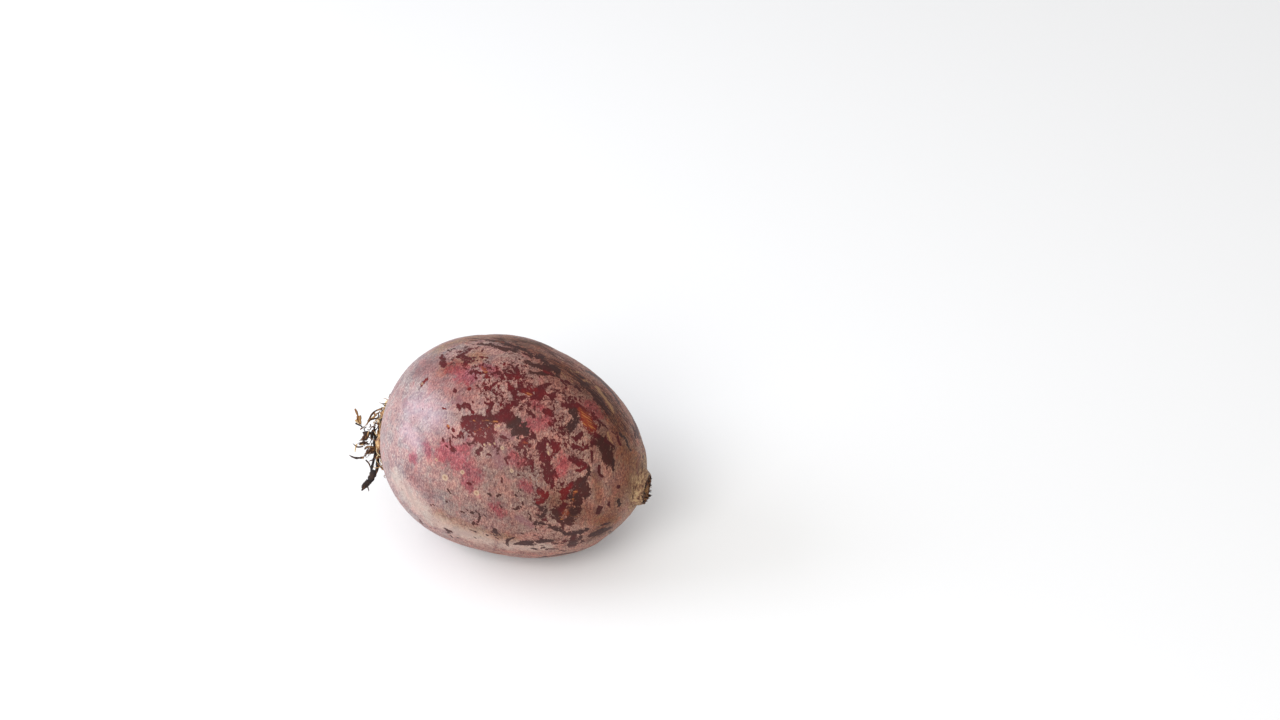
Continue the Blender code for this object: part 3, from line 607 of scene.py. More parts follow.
def skin_rings():
    """All rings of the fine skin, from the floor of the crown's hollow to the broken end."""
    radii = np.arange(0.4, HOLLOW_RADIUS, FLOOR_STEP)
    floor = [round_ring(HOLLOW_FLOOR, HOLLOW_CENTRE, radius) for radius in radii]
    crown = thinned(crown_rings(), CROWN_STEP)
    body = [body_ring(x) for x in np.arange(BODY_START, STUB_END, CLOSE_STEP)] + [body_ring(STUB_END)]
    broken = [break_ring(radius) for radius in np.arange(STUB_RADIUS - END_STEP, 0.3, -END_STEP)]
    return floor + collar_rings() + crown + thinned(body, RING_STEP) + broken


def vertex_normals(mesh):
    """The normals of a mesh's points."""
    normals = np.zeros(len(mesh.vertices) * 3)
    mesh.vertices.foreach_get("normal", normals)
    return normals.reshape(-1, 3)


def grid_mesh(name, rings):
    """A closed mesh through a row of equal rings, with a point at each end."""
    count = len(rings[0])
    ends = [rings[0].mean(0, keepdims=True), rings[-1].mean(0, keepdims=True)]
    points = np.concatenate(rings + ends)
    faces = []
    last = len(rings) - 1
    for row in range(last):
        near = row * count
        for k in range(count):
            after = (k + 1) % count
            faces.append((near + k, near + count + k, near + count + after, near + after))
    for k in range(count):
        after = (k + 1) % count
        faces.append((len(points) - 2, k, after))
        faces.append((len(points) - 1, last * count + after, last * count + k))
    mesh = bpy.data.meshes.new(name)
    mesh.from_pydata((points * MM).tolist(), [], faces)
    mesh.update()
    mesh.shade_smooth()
    return mesh, points


def relief(points, coarse, fine):
    """Heights of the skin's own unevenness at the given points."""
    swells = [noise.fractal(Vector(point) * 0.07, 1.0, 2.0, 3) for point in points]
    bumps = [noise.fractal(Vector(point) * 0.6, 0.8, 2.0, 3) for point in points]
    return coarse * np.array(swells) + fine * np.array(bumps)


def crooked(points):
    """The points moved about by noise, so that marks measured from them come out crooked."""
    broad = [noise.noise_vector(Vector(point) * 0.4) for point in points]
    fine = [noise.noise_vector(Vector(point) * 1.3) for point in points]
    return points + WARP * np.array(broad) + FINE_WARP * np.array(fine)


def nearest(points, along, turn):
    """The skin's point at a place along the root and a turn round it."""
    around_here = np.arctan2(-points[:, 1], points[:, 2])
    off = np.abs((around_here - radians(turn) + pi) % (2 * pi) - pi)
    reach = np.hypot(points[:, 1], points[:, 2])
    return points[np.argmin(np.abs(points[:, 0] - along) + off * reach)]


def stroke(points, half_width, path):
    """Strength of a stroke along a path on the skin: over 1 in its middle, 0.5 at its edge, 0 beyond."""
    places = [nearest(points, along, turn) for along, turn in path]
    if len(places) == 1:
        places = places * 2
    closest = np.full(len(points), 1e9)
    for start, end in zip(places, places[1:]):
        span = end - start
        length = max(float(span @ span), 1e-9)
        share = np.clip(((points - start) @ span) / length, 0, 1)
        gap = np.linalg.norm(points - start - share[:, None] * span, axis=1)
        closest = np.minimum(closest, gap)
    return np.clip(STROKE_CORE - (STROKE_CORE - 0.5) * closest / half_width, 0, STROKE_CORE)


def far_marks(marks, draw):
    """Marks for the hidden side, like the given ones but shifted."""
    made = []
    for half_width, *path in marks:
        shift = draw.uniform(-FAR_SHIFT, FAR_SHIFT)
        turn_shift = FAR_TURN + draw.uniform(-FAR_TURN_SPREAD, FAR_TURN_SPREAD)
        size = draw.uniform(0.8, 1.3)
        far_path = [(FAR_SQUEEZE * along + shift, turn + turn_shift) for along, turn in path]
        made.append((half_width * size, *far_path))
    return made


def hidden_marks(draw, count, kind):
    """Marks on the crown half of the hidden side, where the far marks leave a gap."""
    made = []
    for _ in range(count):
        along = draw.uniform(*kind.along)
        turn = draw.uniform(*kind.turn)
        end_along = along + draw.uniform(-kind.length, kind.length)
        end_turn = turn + draw.uniform(-kind.bend, kind.bend)
        half_width = kind.narrow + (kind.wide - kind.narrow) * draw.random() ** kind.rarity
        made.append((half_width, (along, turn), (end_along, end_turn)))
    return made


def strongest(points, marks, draw=None, hidden=()):
    """The strongest of all marks of a kind at each point. With a draw, the far side has marks like them."""
    level = np.zeros(len(points))
    seen = [on_root(mark) for mark in marks]
    far = far_marks(seen, draw) if draw else []
    for half_width, *path in seen + far + list(hidden):
        level = np.maximum(level, stroke(points, half_width, path))
    return level


def worn_levels(points, draw):
    """How strongly the skin is worn at each point, and the tone of the worn marks there."""
    worn = np.zeros(len(points))
    total = np.full(len(points), RUB_WEIGHT)
    tone = total * RUB_TONE
    for marks, value, flecks in TONES:
        level = strongest(points, marks, draw, hidden_marks(draw, flecks, FLECK))
        worn = np.maximum(worn, level)
        tone += value * level ** 3
        total += level ** 3
    return worn, tone / total


def area_levels(points, kinds, draw):
    """Strength of each kind of soft area at each point."""
    return [strongest(points, marks, draw, hidden_marks(draw, count, AREA)) for marks, count in kinds]


def off_line(points, centre):
    """How far points lie from a line along the root."""
    return np.hypot(points[:, 1] - centre[0], points[:, 2] - centre[1])


def end_levels(points):
    """Where the corky crown, the bare stub, its broken face and the crown's hollow lie."""
    along = points[:, 0]
    cork = np.clip((CORK_REACH - off_line(points, COLLAR_CENTRE)) / CORK_FADE, 0, 1) * (along < 0)
    stub = np.clip((along - STUB_SKIN) / STUB_SKIN_FADE, 0, 1)
    inside = STUB_RADIUS + BREAK_MARGIN - off_line(points, STUB_OFFSET)
    broken = np.clip(inside / STUB_RADIUS, 0, 1) * (along > STUB_END - BREAK_DEPTH)
    hollow = np.clip((HOLLOW_REACH - off_line(points, HOLLOW_CENTRE)) / HOLLOW_FADE, 0, 1) * (along < 0)
    return cork, stub, broken, hollow


def torn_levels(points):
    """How torn the skin is: on the collar and on the broken face."""
    along = points[:, 0]
    collar = np.clip((TORN_REACH - off_line(points, COLLAR_CENTRE)) / TORN_FADE, 0, 1) * (along < 0)
    face = np.clip((STUB_RADIUS - off_line(points, STUB_OFFSET)) / TORN_EDGE, 0, 1)
    return collar + face * (along > STUB_END - BREAK_DEPTH)


def add_layer(mesh, name, *channels):
    """Stores up to four values for each point of a mesh, for its material."""
    layer = mesh.attributes.new(name, "FLOAT_COLOR", "POINT")
    values = np.ones((len(mesh.vertices), 4), np.float32)
    for index, channel in enumerate(channels):
        values[:, index] = channel
    layer.data.foreach_set("color", values.ravel())


def add_skin_layers(mesh, points, rings):
    """Stores where the marks, tints, painted shade, painted sheen and ends lie, and the grain's own
    coordinates.
    """
    draw = Random(FAR_SEED)
    moved = crooked(points)
    wear, tone = worn_levels(moved, draw)
    orange = strongest(moved, ORANGE, draw)
    pale = strongest(moved, PALE, draw)
    add_layer(mesh, "worn", wear, tone, orange, pale)
    add_layer(mesh, "tints", *area_levels(points, TINTS, draw))
    # The areas' last channel is the painted sheen, with no copies on the hidden side.
    add_layer(mesh, "areas", *area_levels(points, AREAS, draw), strongest(points, PAINTED_SHEEN))
    rosy = strongest(points, ROSY, draw)
    spots = strongest(points, SPOTS, draw)
    dusty = strongest(points, DUSTY, draw)
    warmth = np.clip((points[:, 0] - WARM_START) / WARM_LENGTH, 0, 1)
    add_layer(mesh, "spots", spots, warmth, rosy, dusty)
    add_layer(mesh, "ends", *end_levels(points))
    steps = [0] + [float(np.linalg.norm(far - near, axis=1).mean()) for near, far in zip(rings, rings[1:])]
    length = np.repeat(np.cumsum(steps), ROUND)
    angle = np.tile(around(), len(rings))
    reach = np.hypot(points[:-2, 1], points[:-2, 2])
    add_places(mesh, "grain_place", length, reach, angle)
    add_places(mesh, "streak_place", length, SWELL_RADIUS, angle)


def add_places(mesh, name, length, reach, angle):
    """Stores coordinates that run along the root and round it at a given reach."""
    places = np.stack((length, reach * np.cos(angle), reach * np.sin(angle)), 1)
    places = np.concatenate((places, [[0, 0, 0], [length[-1] + 1, 0, 0]]))
    layer = mesh.attributes.new(name, "FLOAT_VECTOR", "POINT")
    layer.data.foreach_set("vector", places.astype(np.float32).ravel())


class Shader:
    """Builds the nodes of one material."""

    def __init__(self, name):
        self.material = bpy.data.materials.new(name)
        self.material.use_nodes = True
        self.nodes = self.material.node_tree.nodes
        self.links = self.material.node_tree.links
        self.principled = self.nodes["Principled BSDF"]

    def feed(self, socket, value):
        """Sets a socket to a number or colour, or links an output to it."""
        if isinstance(value, bpy.types.NodeSocket):
            self.links.new(value, socket)
        elif isinstance(value, tuple) and len(value) == 3 and socket.type == "RGBA":
            socket.default_value = (*value, 1)
        else:
            socket.default_value = value

    def layer(self, name):
        """A stored layer, as its node."""
        node = self.nodes.new("ShaderNodeAttribute")
        node.attribute_name = name
        return node

    def channels(self, name):
        """The four values of a stored layer."""
        node = self.layer(name)
        split = self.nodes.new("ShaderNodeSeparateColor")
        self.links.new(node.outputs["Color"], split.inputs[0])
        return (*split.outputs, node.outputs["Alpha"])

    def sum(self, a, b, kind="ADD"):
        """Two values added, or joined in another way."""
        node = self.nodes.new("ShaderNodeMath")
        node.operation = kind
        self.feed(node.inputs[0], a)
        self.feed(node.inputs[1], b)
        return node.outputs[0]

    def times(self, a, b):
        """Two values multiplied."""
        return self.sum(a, b, "MULTIPLY")

    def swing(self, value, weight):
        """How far a value lies from its average of 0.5, weighted."""
        return self.times(self.sum(value, -0.5), weight)

    def less(self, share, taken):
        """A share, less what another share takes of it."""
        return self.times(share, self.sum(1.0, taken, "SUBTRACT"))

    def higher(self, a, b):
        """The higher of two values."""
        return self.sum(a, b, "MAXIMUM")

    def stretch(self, place, factors):
        """Coordinates scaled by a factor for each axis."""
        node = self.nodes.new("ShaderNodeVectorMath")
        node.operation = "MULTIPLY"
        self.feed(node.inputs[0], place)
        node.inputs[1].default_value = factors
        return node.outputs[0]

    def noise(self, place, scale, detail=2.0, roughness=0.5, distortion=0.0):
        """Noise with so many features to a millimetre, about 0.5 on average."""
        node = self.nodes.new("ShaderNodeTexNoise")
        self.feed(node.inputs["Vector"], place)
        node.inputs["Scale"].default_value = scale
        node.inputs["Detail"].default_value = detail
        node.inputs["Roughness"].default_value = roughness
        node.inputs["Distortion"].default_value = distortion
        return node.outputs["Fac"]

    def fade(self, value, start, end, low=0.0, high=1.0):
        """A smooth step from low to high, as a value goes from start to end."""
        node = self.nodes.new("ShaderNodeMapRange")
        node.interpolation_type = "SMOOTHSTEP"
        self.feed(node.inputs["Value"], value)
        node.inputs["From Min"].default_value = start
        node.inputs["From Max"].default_value = end
        node.inputs["To Min"].default_value = low
        node.inputs["To Max"].default_value = high
        return node.outputs["Result"]

    def mix(self, first, second, share, kind="MIX"):
        """Two colours mixed."""
        node = self.nodes.new("ShaderNodeMix")
        node.data_type = "RGBA"
        node.blend_type = kind
        self.feed(node.inputs[0], share)
        self.feed(node.inputs[6], first)
        self.feed(node.inputs[7], second)
        return node.outputs[2]

    def tint(self, colour, tint, share=1.0):
        """A colour darkened by a tint."""
        return self.mix(colour, tint, share, "MULTIPLY")

    def ramp(self, value, *stops):
        """A colour picked along a row of stops, each a place and a colour."""
        node = self.nodes.new("ShaderNodeValToRGB")
        elements = node.color_ramp.elements
        while len(elements) < len(stops):
            elements.new(0.5)
        for element, (place, colour) in zip(elements, stops):
            element.position = place
            element.color = (*colour, 1)
        self.feed(node.inputs[0], value)
        return node.outputs[0]

    def bump(self, height, distance, strength=1.0):
        """Normals from a height."""
        node = self.nodes.new("ShaderNodeBump")
        node.inputs["Strength"].default_value = strength
        node.inputs["Distance"].default_value = distance
        self.feed(node.inputs["Height"], height)
        return node.outputs[0]

    def finish(self, colour, roughness, normal, specular=0.5, coat=0.0):
        """Feeds the shader, and gives the material."""
        self.feed(self.principled.inputs["Base Color"], colour)
        self.feed(self.principled.inputs["Roughness"], roughness)
        self.principled.inputs["Specular IOR Level"].default_value = specular
        self.principled.inputs["Coat Weight"].default_value = coat
        self.principled.inputs["Coat Roughness"].default_value = 0.4
        if normal is not None:
            self.feed(self.principled.inputs["Normal"], normal)
        return self.material


# Colours of the dusty scurf, and of the skin where it is worn away.
PINK = linear(164, 142, 137)
SCURF_COLOURS = (
    (0.3, linear(126, 104, 108)),
    (0.5, PINK),
    (0.7, linear(204, 188, 174)),
)
ALONG_TINTS = (
    (0.0, linear(252, 252, 255)),
    (0.3, linear(242, 220, 212)),
    (0.55, linear(238, 200, 186)),
    (1.0, linear(240, 212, 190)),
)
ROSY_TINT = linear(252, 236, 238)
ROSY_PATCH_TINT = linear(238, 210, 211)
COOL_TINT = linear(238, 246, 250)
BLUSH_TINT = linear(236, 166, 188)
TAN_TINT = linear(234, 218, 192)
# The tint of the painted shade, partly a browner skin.
PAINTED_SHADE_TINT = linear(206, 186, 172)
BARE_TINT = linear(204, 184, 190)
DUST_COLOUR = linear(196, 172, 158)
DUSTY_COLOUR = linear(192, 176, 163)
# The colour of the painted sheen.
PAINTED_SHEEN_COLOUR = linear(190, 172, 190)
SAND_TINT = linear(226, 237, 240)
PLUM_COLOUR = linear(112, 70, 78)
PALE_COLOUR = linear(178, 146, 112)
ORANGE_COLOUR = linear(134, 58, 34)
GOLD_COLOUR = linear(170, 108, 60)
BROWN_TONE = linear(66, 31, 27)
TONE_COLOURS = (
    (0.0, linear(58, 33, 31)),
    (0.33, BROWN_TONE),
    (0.66, linear(78, 22, 26)),
    (1.0, linear(104, 24, 25)),
)
CORK_COLOURS = (
    (0.32, linear(66, 42, 30)),
    (0.44, linear(122, 84, 54)),
    (0.54, linear(176, 136, 92)),
    (0.66, linear(214, 190, 150)),
)
STAIN_TINT = linear(232, 192, 146)
STUB_COLOURS = (
    (0.38, linear(176, 150, 112)),
    (0.47, linear(142, 114, 84)),
    (0.54, linear(108, 80, 60)),
    (0.6, linear(46, 29, 24)),
)
NEAR_BLACK = linear(30, 18, 16)
BREAK_COLOURS = (
    (0.08, NEAR_BLACK),
    (0.22, linear(88, 50, 34)),
    (0.4, linear(136, 96, 62)),
    (0.5, linear(52, 30, 24)),
    (0.68, linear(104, 66, 44)),
    (0.9, linear(150, 112, 74)),
)
RIM_COLOUR = linear(184, 158, 130)
HEART_COLOUR = linear(132, 98, 78)

# The stage. Each light has a name, a place, what it faces, a size in metres, a power and a colour.
FLOOR_COLOUR = (0.86, 0.86, 0.86)
SURROUNDING_STRENGTH = 0.78
LIGHTS = (
    ("window", (-0.62, -0.16, 0.33), (0, 0, 0.04), 0.5, 3.2, (0.86, 0.9, 1.0)),
    ("softbox", (-0.05, -0.7, 0.6), (0, 0, 0.03), 0.5, 4.6, (1.0, 0.99, 0.97)),
)


def scurf_colour(look, place, grain, mottle, along, rosy, dusty):
    """The unworn scurf: pale dust over mauve, tinted here and there."""
    blush, tan, plum, sand = look.channels("tints")
    dapple = look.noise(look.stretch(place, (1.3, 0.8, 0.8)), 0.7, 4, 0.66)
    level = look.sum(0.5, look.swing(mottle, 0.5))
    level = look.sum(level, look.swing(dapple, 0.45))
    level = look.sum(level, look.swing(grain, 1.2))
    colour = look.ramp(level, *SCURF_COLOURS)
    plates = look.noise(look.stretch(place, (1.4, 0.8, 0.8)), 1.3, 5, 0.75, 0.3)
    bare = look.times(look.fade(plates, 0.44, 0.5, 1, 0), look.fade(along, 0.0, 0.5, 0.28, 0.9))
    colour = look.tint(colour, BARE_TINT, bare)
    drift = look.noise(place, 0.09, 3, 0.6)
    warmth = look.sum(along, look.swing(drift, 0.5))
    colour = look.tint(colour, look.ramp(warmth, *ALONG_TINTS))
    hue = look.noise(place, 0.22, 4, 0.6, 0.6)
    colour = look.tint(colour, look.mix(COOL_TINT, ROSY_TINT, look.fade(hue, 0.4, 0.6)))
    patchy = look.sum(look.swing(mottle, 1.6), look.swing(dapple, 1.2))
    tints = (
        (rosy, 0.8, 0.1, 1.0, ROSY_PATCH_TINT),
        (sand, 0.8, 0.1, 1.0, SAND_TINT),
        (blush, 1.5, 0.05, 1.0, BLUSH_TINT),
        (tan, 1.0, 0.1, 1.2, TAN_TINT),
    )
    for area, raggedness, start, end, tint in tints:
        share = look.fade(look.sum(area, look.times(patchy, raggedness)), start, end)
        colour = look.tint(colour, tint, share)
    colour = look.mix(colour, PLUM_COLOUR, look.fade(look.sum(plum, patchy), 0.2, 1.1, 0, 0.6))
    dusted = look.sum(dusty, look.times(patchy, 0.8))
    colour = look.mix(colour, DUSTY_COLOUR, look.fade(dusted, 0.1, 1.1, 0, 0.45))
    fibres = look.noise(look.stretch(place, (2.6, 0.5, 0.5)), 1.6, 3, 0.6, 0.5)
    dust = look.times(look.fade(fibres, 0.57, 0.66), look.fade(along, 0.0, 0.4, 0.12, 0.3))
    return look.mix(colour, DUST_COLOUR, dust)


def worn_through(look, place, streak_place, wear, pale, rubbed, streak, along):
    """Where the scurf is gone: ragged marks, and flakes in the rubbed areas."""
    edge = look.noise(place, 0.5, 8, 0.75, 0.3)
    nibble = look.noise(look.stretch(place, (1, 0.8, 0.8)), 1.4, 4, 0.7)
    ragged = look.sum(wear, look.swing(edge, 2.0))
    ragged = look.sum(ragged, look.swing(nibble, 1.5))
    ragged = look.sum(ragged, look.times(pale, -1.4))
    marks = look.fade(ragged, 0.5, 0.56)
    flakes = look.sum(look.noise(place, 0.55, 8, 0.75, 0.4), look.times(rubbed, 0.11))
    flakes = look.fade(flakes, 0.645, 0.66)
    crumbs = look.sum(look.noise(place, 1.3, 4, 0.62), look.times(rubbed, 0.08))
    crumbs = look.sum(crumbs, look.times(along, 0.03))
    crumbs = look.fade(crumbs, 0.665, 0.685, 0, 0.9)
    worn = look.higher(marks, look.higher(flakes, crumbs))
    across = look.noise(look.stretch(place, (2.2, 0.5, 0.5)), 1.1, 4, 0.65, 0.5)
    lengthwise = look.noise(look.stretch(streak_place, (0.25, 1.2, 1.2)), 1.1, 4, 0.65, 0.5)
    lengthwise = look.sum(lengthwise, look.times(streak, 0.08))
    scratches = look.higher(look.fade(across, 0.64, 0.67, 0, 0.7), look.fade(lengthwise, 0.65, 0.68, 0, 0.8))
    return look.less(worn, scratches)


def below_colour(look, dashes, grain, mottle, tone, orange):
    """The skin under the scurf, from nearly black to red, with rusty streaks."""
    colour = look.ramp(look.sum(tone, look.swing(mottle, 1.2)), *TONE_COLOURS)
    colour = look.mix(colour, PINK, look.fade(grain, 0.56, 0.8, 0, 0.3))
    rust = look.sum(look.times(orange, 0.8), look.swing(mottle, 2.0))
    rusty = look.times(look.fade(rust, 0.4, 1.1, 0, 0.75), look.fade(orange, 0.1, 0.5))
    colour = look.mix(colour, ORANGE_COLOUR, rusty)
    gold = look.fade(look.sum(look.times(orange, 0.12), dashes), 0.61, 0.72, 0, 0.8)
    return look.mix(colour, GOLD_COLOUR, look.times(gold, look.fade(orange, 0.15, 0.5)))


def ends_colour(look, colour, place, streak_place, mottle, grain):
    """Adds the corky crown and the broken tail."""
    cork, stub, broken, hollow = look.channels("ends")
    rays = look.noise(look.stretch(streak_place, (0.5, 0.6, 0.6)), 0.8, 4, 0.65)
    corky = look.sum(cork, look.sum(look.swing(mottle, 2.6), look.swing(rays, 2.4)))
    bark = look.noise(look.stretch(place, (1.6, 0.7, 0.7)), 0.8, 6, 0.72)
    stained = look.times(look.fade(corky, 0.1, 0.6), look.fade(cork, 0, 0.4))
    colour = look.tint(colour, STAIN_TINT, stained)
    barked = look.times(look.fade(corky, 0.5, 0.66), look.fade(cork, 0.1, 0.5))
    colour = look.mix(colour, look.ramp(bark, *CORK_COLOURS), barked)
    rings = look.noise(look.stretch(place, (1.4, 0.6, 0.6)), 0.9, 5, 0.7, 0.4)
    tailward = look.sum(stub, look.swing(mottle, 1.6))
    colour = look.mix(colour, look.ramp(rings, *STUB_COLOURS), look.fade(tailward, 0.4, 1.0, 0, 0.8))
    face = look.ramp(look.sum(broken, look.swing(grain, 0.7)), *BREAK_COLOURS)
    colour = look.mix(colour, face, look.fade(look.sum(broken, look.swing(rings, 0.3)), 0.04, 0.09))
    return look.mix(colour, NEAR_BLACK, hollow)


def skin_material():
    """Dry scurf over a maroon root, worn through in ragged patches, with painted shade and a painted sheen.
    """
    look = Shader("beet_scurf")
    place = look.layer("grain_place").outputs["Vector"]
    streak_place = look.layer("streak_place").outputs["Vector"]
    wear, tone, orange, pale = look.channels("worn")
    shade, rubbed, streak, painted_sheen = look.channels("areas")
    spots, along, rosy, dusty = look.channels("spots")
    mottle = look.noise(place, 0.26, 5, 0.62)
    grain = look.noise(look.stretch(place, (1.4, 0.8, 0.8)), 1.7, 4, 0.75)
    dashes = look.noise(look.stretch(streak_place, (0.16, 1, 1)), 1.8, 3, 0.6)
    colour = scurf_colour(look, place, grain, mottle, along, rosy, dusty)
    worn = worn_through(look, place, streak_place, wear, pale, rubbed, streak, along)
    colour = look.mix(colour, below_colour(look, dashes, grain, mottle, tone, orange), worn)
    # Painted highlight: a pale lilac sheen on the flank near the crown, kept off the worn marks.
    sheen_share = look.fade(look.sum(painted_sheen, look.swing(mottle, 0.9)), 0.0, 1.4, 0, 0.34)
    colour = look.mix(colour, PAINTED_SHEEN_COLOUR, look.less(sheen_share, worn))
    # Dashes along the root in the streaked zones, and dust in the pale marks.
    dashed = look.fade(look.sum(dashes, look.times(streak, 0.05)), 0.53, 0.57, 0, 0.85)
    colour = look.mix(colour, BROWN_TONE, look.times(dashed, look.fade(streak, 0.1, 0.6)))
    scarred = look.sum(pale, look.swing(grain, 1.2))
    colour = look.mix(colour, PALE_COLOUR, look.fade(scarred, 0.5, 0.9, 0, 0.8))
    # Painted shade over the right side, the top edge and the lower right, partly a browner skin.
    colour = look.tint(colour, PAINTED_SHADE_TINT, look.fade(shade, 0, 1.2))
    colour = look.mix(colour, RIM_COLOUR, look.fade(spots, 0.3, 0.6, 0, 0.6))
    colour = look.mix(colour, HEART_COLOUR, look.fade(spots, 0.75, 1.0, 0, 0.8))
    colour = ends_colour(look, colour, place, streak_place, mottle, grain)
    height = look.sum(look.times(grain, 0.5), look.times(mottle, 0.8))
    height = look.sum(height, look.times(worn, -0.4))
    roughness = look.fade(worn, 0, 1, 0.58, 0.46)
    return look.finish(colour, roughness, look.bump(height, 0.00018, 0.6), specular=0.08, coat=0.14)


def build_skin():
    """The root's skin, replacing its solid."""
    rings = skin_rings()
    mesh, points = grid_mesh("root_skin", rings)
    heights = relief(points, *SKIN_RELIEF) + torn_levels(points) * relief(points, *TORN_RELIEF)
    shaped = points + vertex_normals(mesh) * heights[:, None]
    shaped[:, 2] = np.maximum(shaped[:, 2], FLAT_LEVEL)
    mesh.vertices.foreach_set("co", ((shaped + SET_DOWN) * MM).astype(np.float32).ravel())
    mesh.update()
    add_skin_layers(mesh, points, rings)
    mesh.materials.append(skin_material())
    skin = bpy.data.objects.new("root_skin", mesh)
    bpy.context.scene.collection.objects.link(skin)
    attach(skin, "root")
    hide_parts("beet_root")


class Fibres:
    """Collects closed tubes and plates into one mesh, each with a tone and places for its grain."""

    def __init__(self):
        self.points = []
        self.faces = []
        self.tones = []
        self.places = []
        self.total = 0
        self.count = 0

    def tube(self, rings, tone, gap):
        """Adds a closed tube through equal rings that lie so far apart."""
        rows, sides = rings.shape[:2]
        start = self.total
        self.total += rows * sides + 2
        caps = [ring.mean(0, keepdims=True) for ring in (rings[0], rings[-1])]
        self.points += [rings.reshape(-1, 3)] + caps
        first = start + rows * sides
        for k in range(sides):
            after = (k + 1) % sides
            self.faces.append((first, start + after, start + k))
            self.faces.append((first + 1, start + (rows - 1) * sides + k, start + (rows - 1) * sides + after))
            for row in range(rows - 1):
                near = start + row * sides
                self.faces.append((near + k, near + after, near + sides + after, near + sides + k))
        self.count += 1
        along = np.repeat(np.arange(rows) * gap, sides) + 37 * self.count
        angle = np.tile(np.arange(sides) * 2 * pi / sides, rows)
        grain = np.stack((along, np.cos(angle), np.sin(angle)), 1)
        self.places += [grain, grain[:1], grain[-1:]]
        self.tones += [np.full(rows * sides + 2, tone)]

    def strand(self, line, width, thickness, tone, draw, sides=8):
        """Adds a flat strip along a line, with torn edges, narrowing to its tip."""
        phase = draw.uniform(0, 99)
        rows = []
        angle = np.arange(sides) * 2 * pi / sides
        for index, point in enumerate(line):
            ahead = Vector(line[min(index + 1, len(line) - 1)] - line[max(index - 1, 0)]).normalized()
            side = ahead.cross(FLAT_FACING).normalized()
            other = ahead.cross(side)
            share = index / (len(line) - 1)
            torn = 1 + 0.45 * noise.noise(Vector((index * STRAND_STEP * 1.1, phase, 0)))
            narrow = (1 - 0.5 * share ** 3) * min(1, 0.35 + 4 * (1 - share))
            half_width = width / 2 * torn * narrow
            half_thickness = max(thickness / 2 * narrow, 0.07)
            grooves = 1 + 0.16 * np.sin(3 * angle + phase + share * 2)
            rows.append(point + np.outer(np.cos(angle) * half_width * grooves, side)
                        + np.outer(np.sin(angle) * half_thickness * grooves, other))
        self.tube(np.array(rows), tone, STRAND_STEP)

    def bundle(self, line, width, thickness, count, tone, draw):
        """Adds thin fibres that wander along a line and cross each other, with loose ends."""
        for _ in range(count):
            last = int(len(line) * draw.uniform(0.55, 1.0))
            first = int(len(line) * draw.uniform(0, 0.3))
            if last - first < 4:
                continue
            part = line[first:last] + wander(last - first, width, thickness, draw)
            size = draw.uniform(0.2, 0.42)
            self.strand(part, size, size * 0.8, min(max(tone + draw.uniform(-0.22, 0.25), 0), 1), draw, 5)

    def piece(self, name, surface):
        """The mesh as an object that rides on the root."""
        points = np.concatenate(self.points)
        mesh = bpy.data.meshes.new(name)
        mesh.from_pydata(((points + SET_DOWN) * MM).tolist(), [], self.faces)
        mesh.update()
        mesh.shade_smooth()
        tone = mesh.attributes.new("tone", "FLOAT", "POINT")
        tone.data.foreach_set("value", np.concatenate(self.tones).astype(np.float32))
        place = mesh.attributes.new("grain_place", "FLOAT_VECTOR", "POINT")
        place.data.foreach_set("vector", np.concatenate(self.places).astype(np.float32).ravel())
        mesh.materials.append(surface)
        made = bpy.data.objects.new(name, mesh)
        bpy.context.scene.collection.objects.link(made)
        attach(made, "root")
        return made


def smooth_line(knots):
    """A smooth line through the given points, with a point about every step."""
    knots = np.array(knots, float)
    knots = np.concatenate(([2 * knots[0] - knots[1]], knots, [2 * knots[-1] - knots[-2]]))
    line = []
    for a, b, c, d in zip(knots, knots[1:], knots[2:], knots[3:]):
        for t in np.linspace(0, 1, 24, endpoint=False):
            line.append(0.5 * (2 * b + (c - a) * t + (2 * a - 5 * b + 4 * c - d) * t ** 2
                               + (3 * b - 3 * c + d - a) * t ** 3))
    line = np.array(line + [knots[-2]])
    length = np.concatenate(([0], np.cumsum(np.linalg.norm(np.diff(line, axis=0), axis=1))))
    places = np.linspace(0, length[-1], max(int(length[-1] / STRAND_STEP), 4) + 1)
    return np.stack([np.interp(places, length, line[:, axis]) for axis in range(3)], 1)


def wander(count, width, thickness, draw):
    """A smooth sideways drift for each point of a fibre."""
    phase = draw.uniform(0, 99)
    drift = [noise.noise_vector(Vector((index * STRAND_STEP * 0.45, phase, 3.3))) for index in range(count)]
    return np.array(drift) * (FIBRE_DRIFT[0] * width + FIBRE_DRIFT[1] * thickness)


def strand_material(name, roughness=0.72):
    """Dried plant fibre: its tone from black to cream, streaked along its length."""
    look = Shader(name)
    place = look.layer("grain_place").outputs["Vector"]
    tone = look.layer("tone").outputs["Fac"]
    streaks = look.noise(look.stretch(place, (0.5, 1.6, 1.6)), 1.0, 4, 0.65)
    blotches = look.noise(look.stretch(place, (1.0, 0.3, 0.3)), 0.7, 3, 0.6)
    level = look.sum(tone, look.swing(streaks, 0.7))
    level = look.sum(level, look.swing(blotches, 0.7))
    colour = look.ramp(level, *[(stop, linear(*shade)) for stop, shade in STRAND_TONES])
    dryness = look.fade(streaks, 0.3, 0.7, roughness - 0.1, roughness + 0.1)
    return look.finish(colour, dryness, look.bump(streaks, 0.0002, 0.8), specular=0.3)


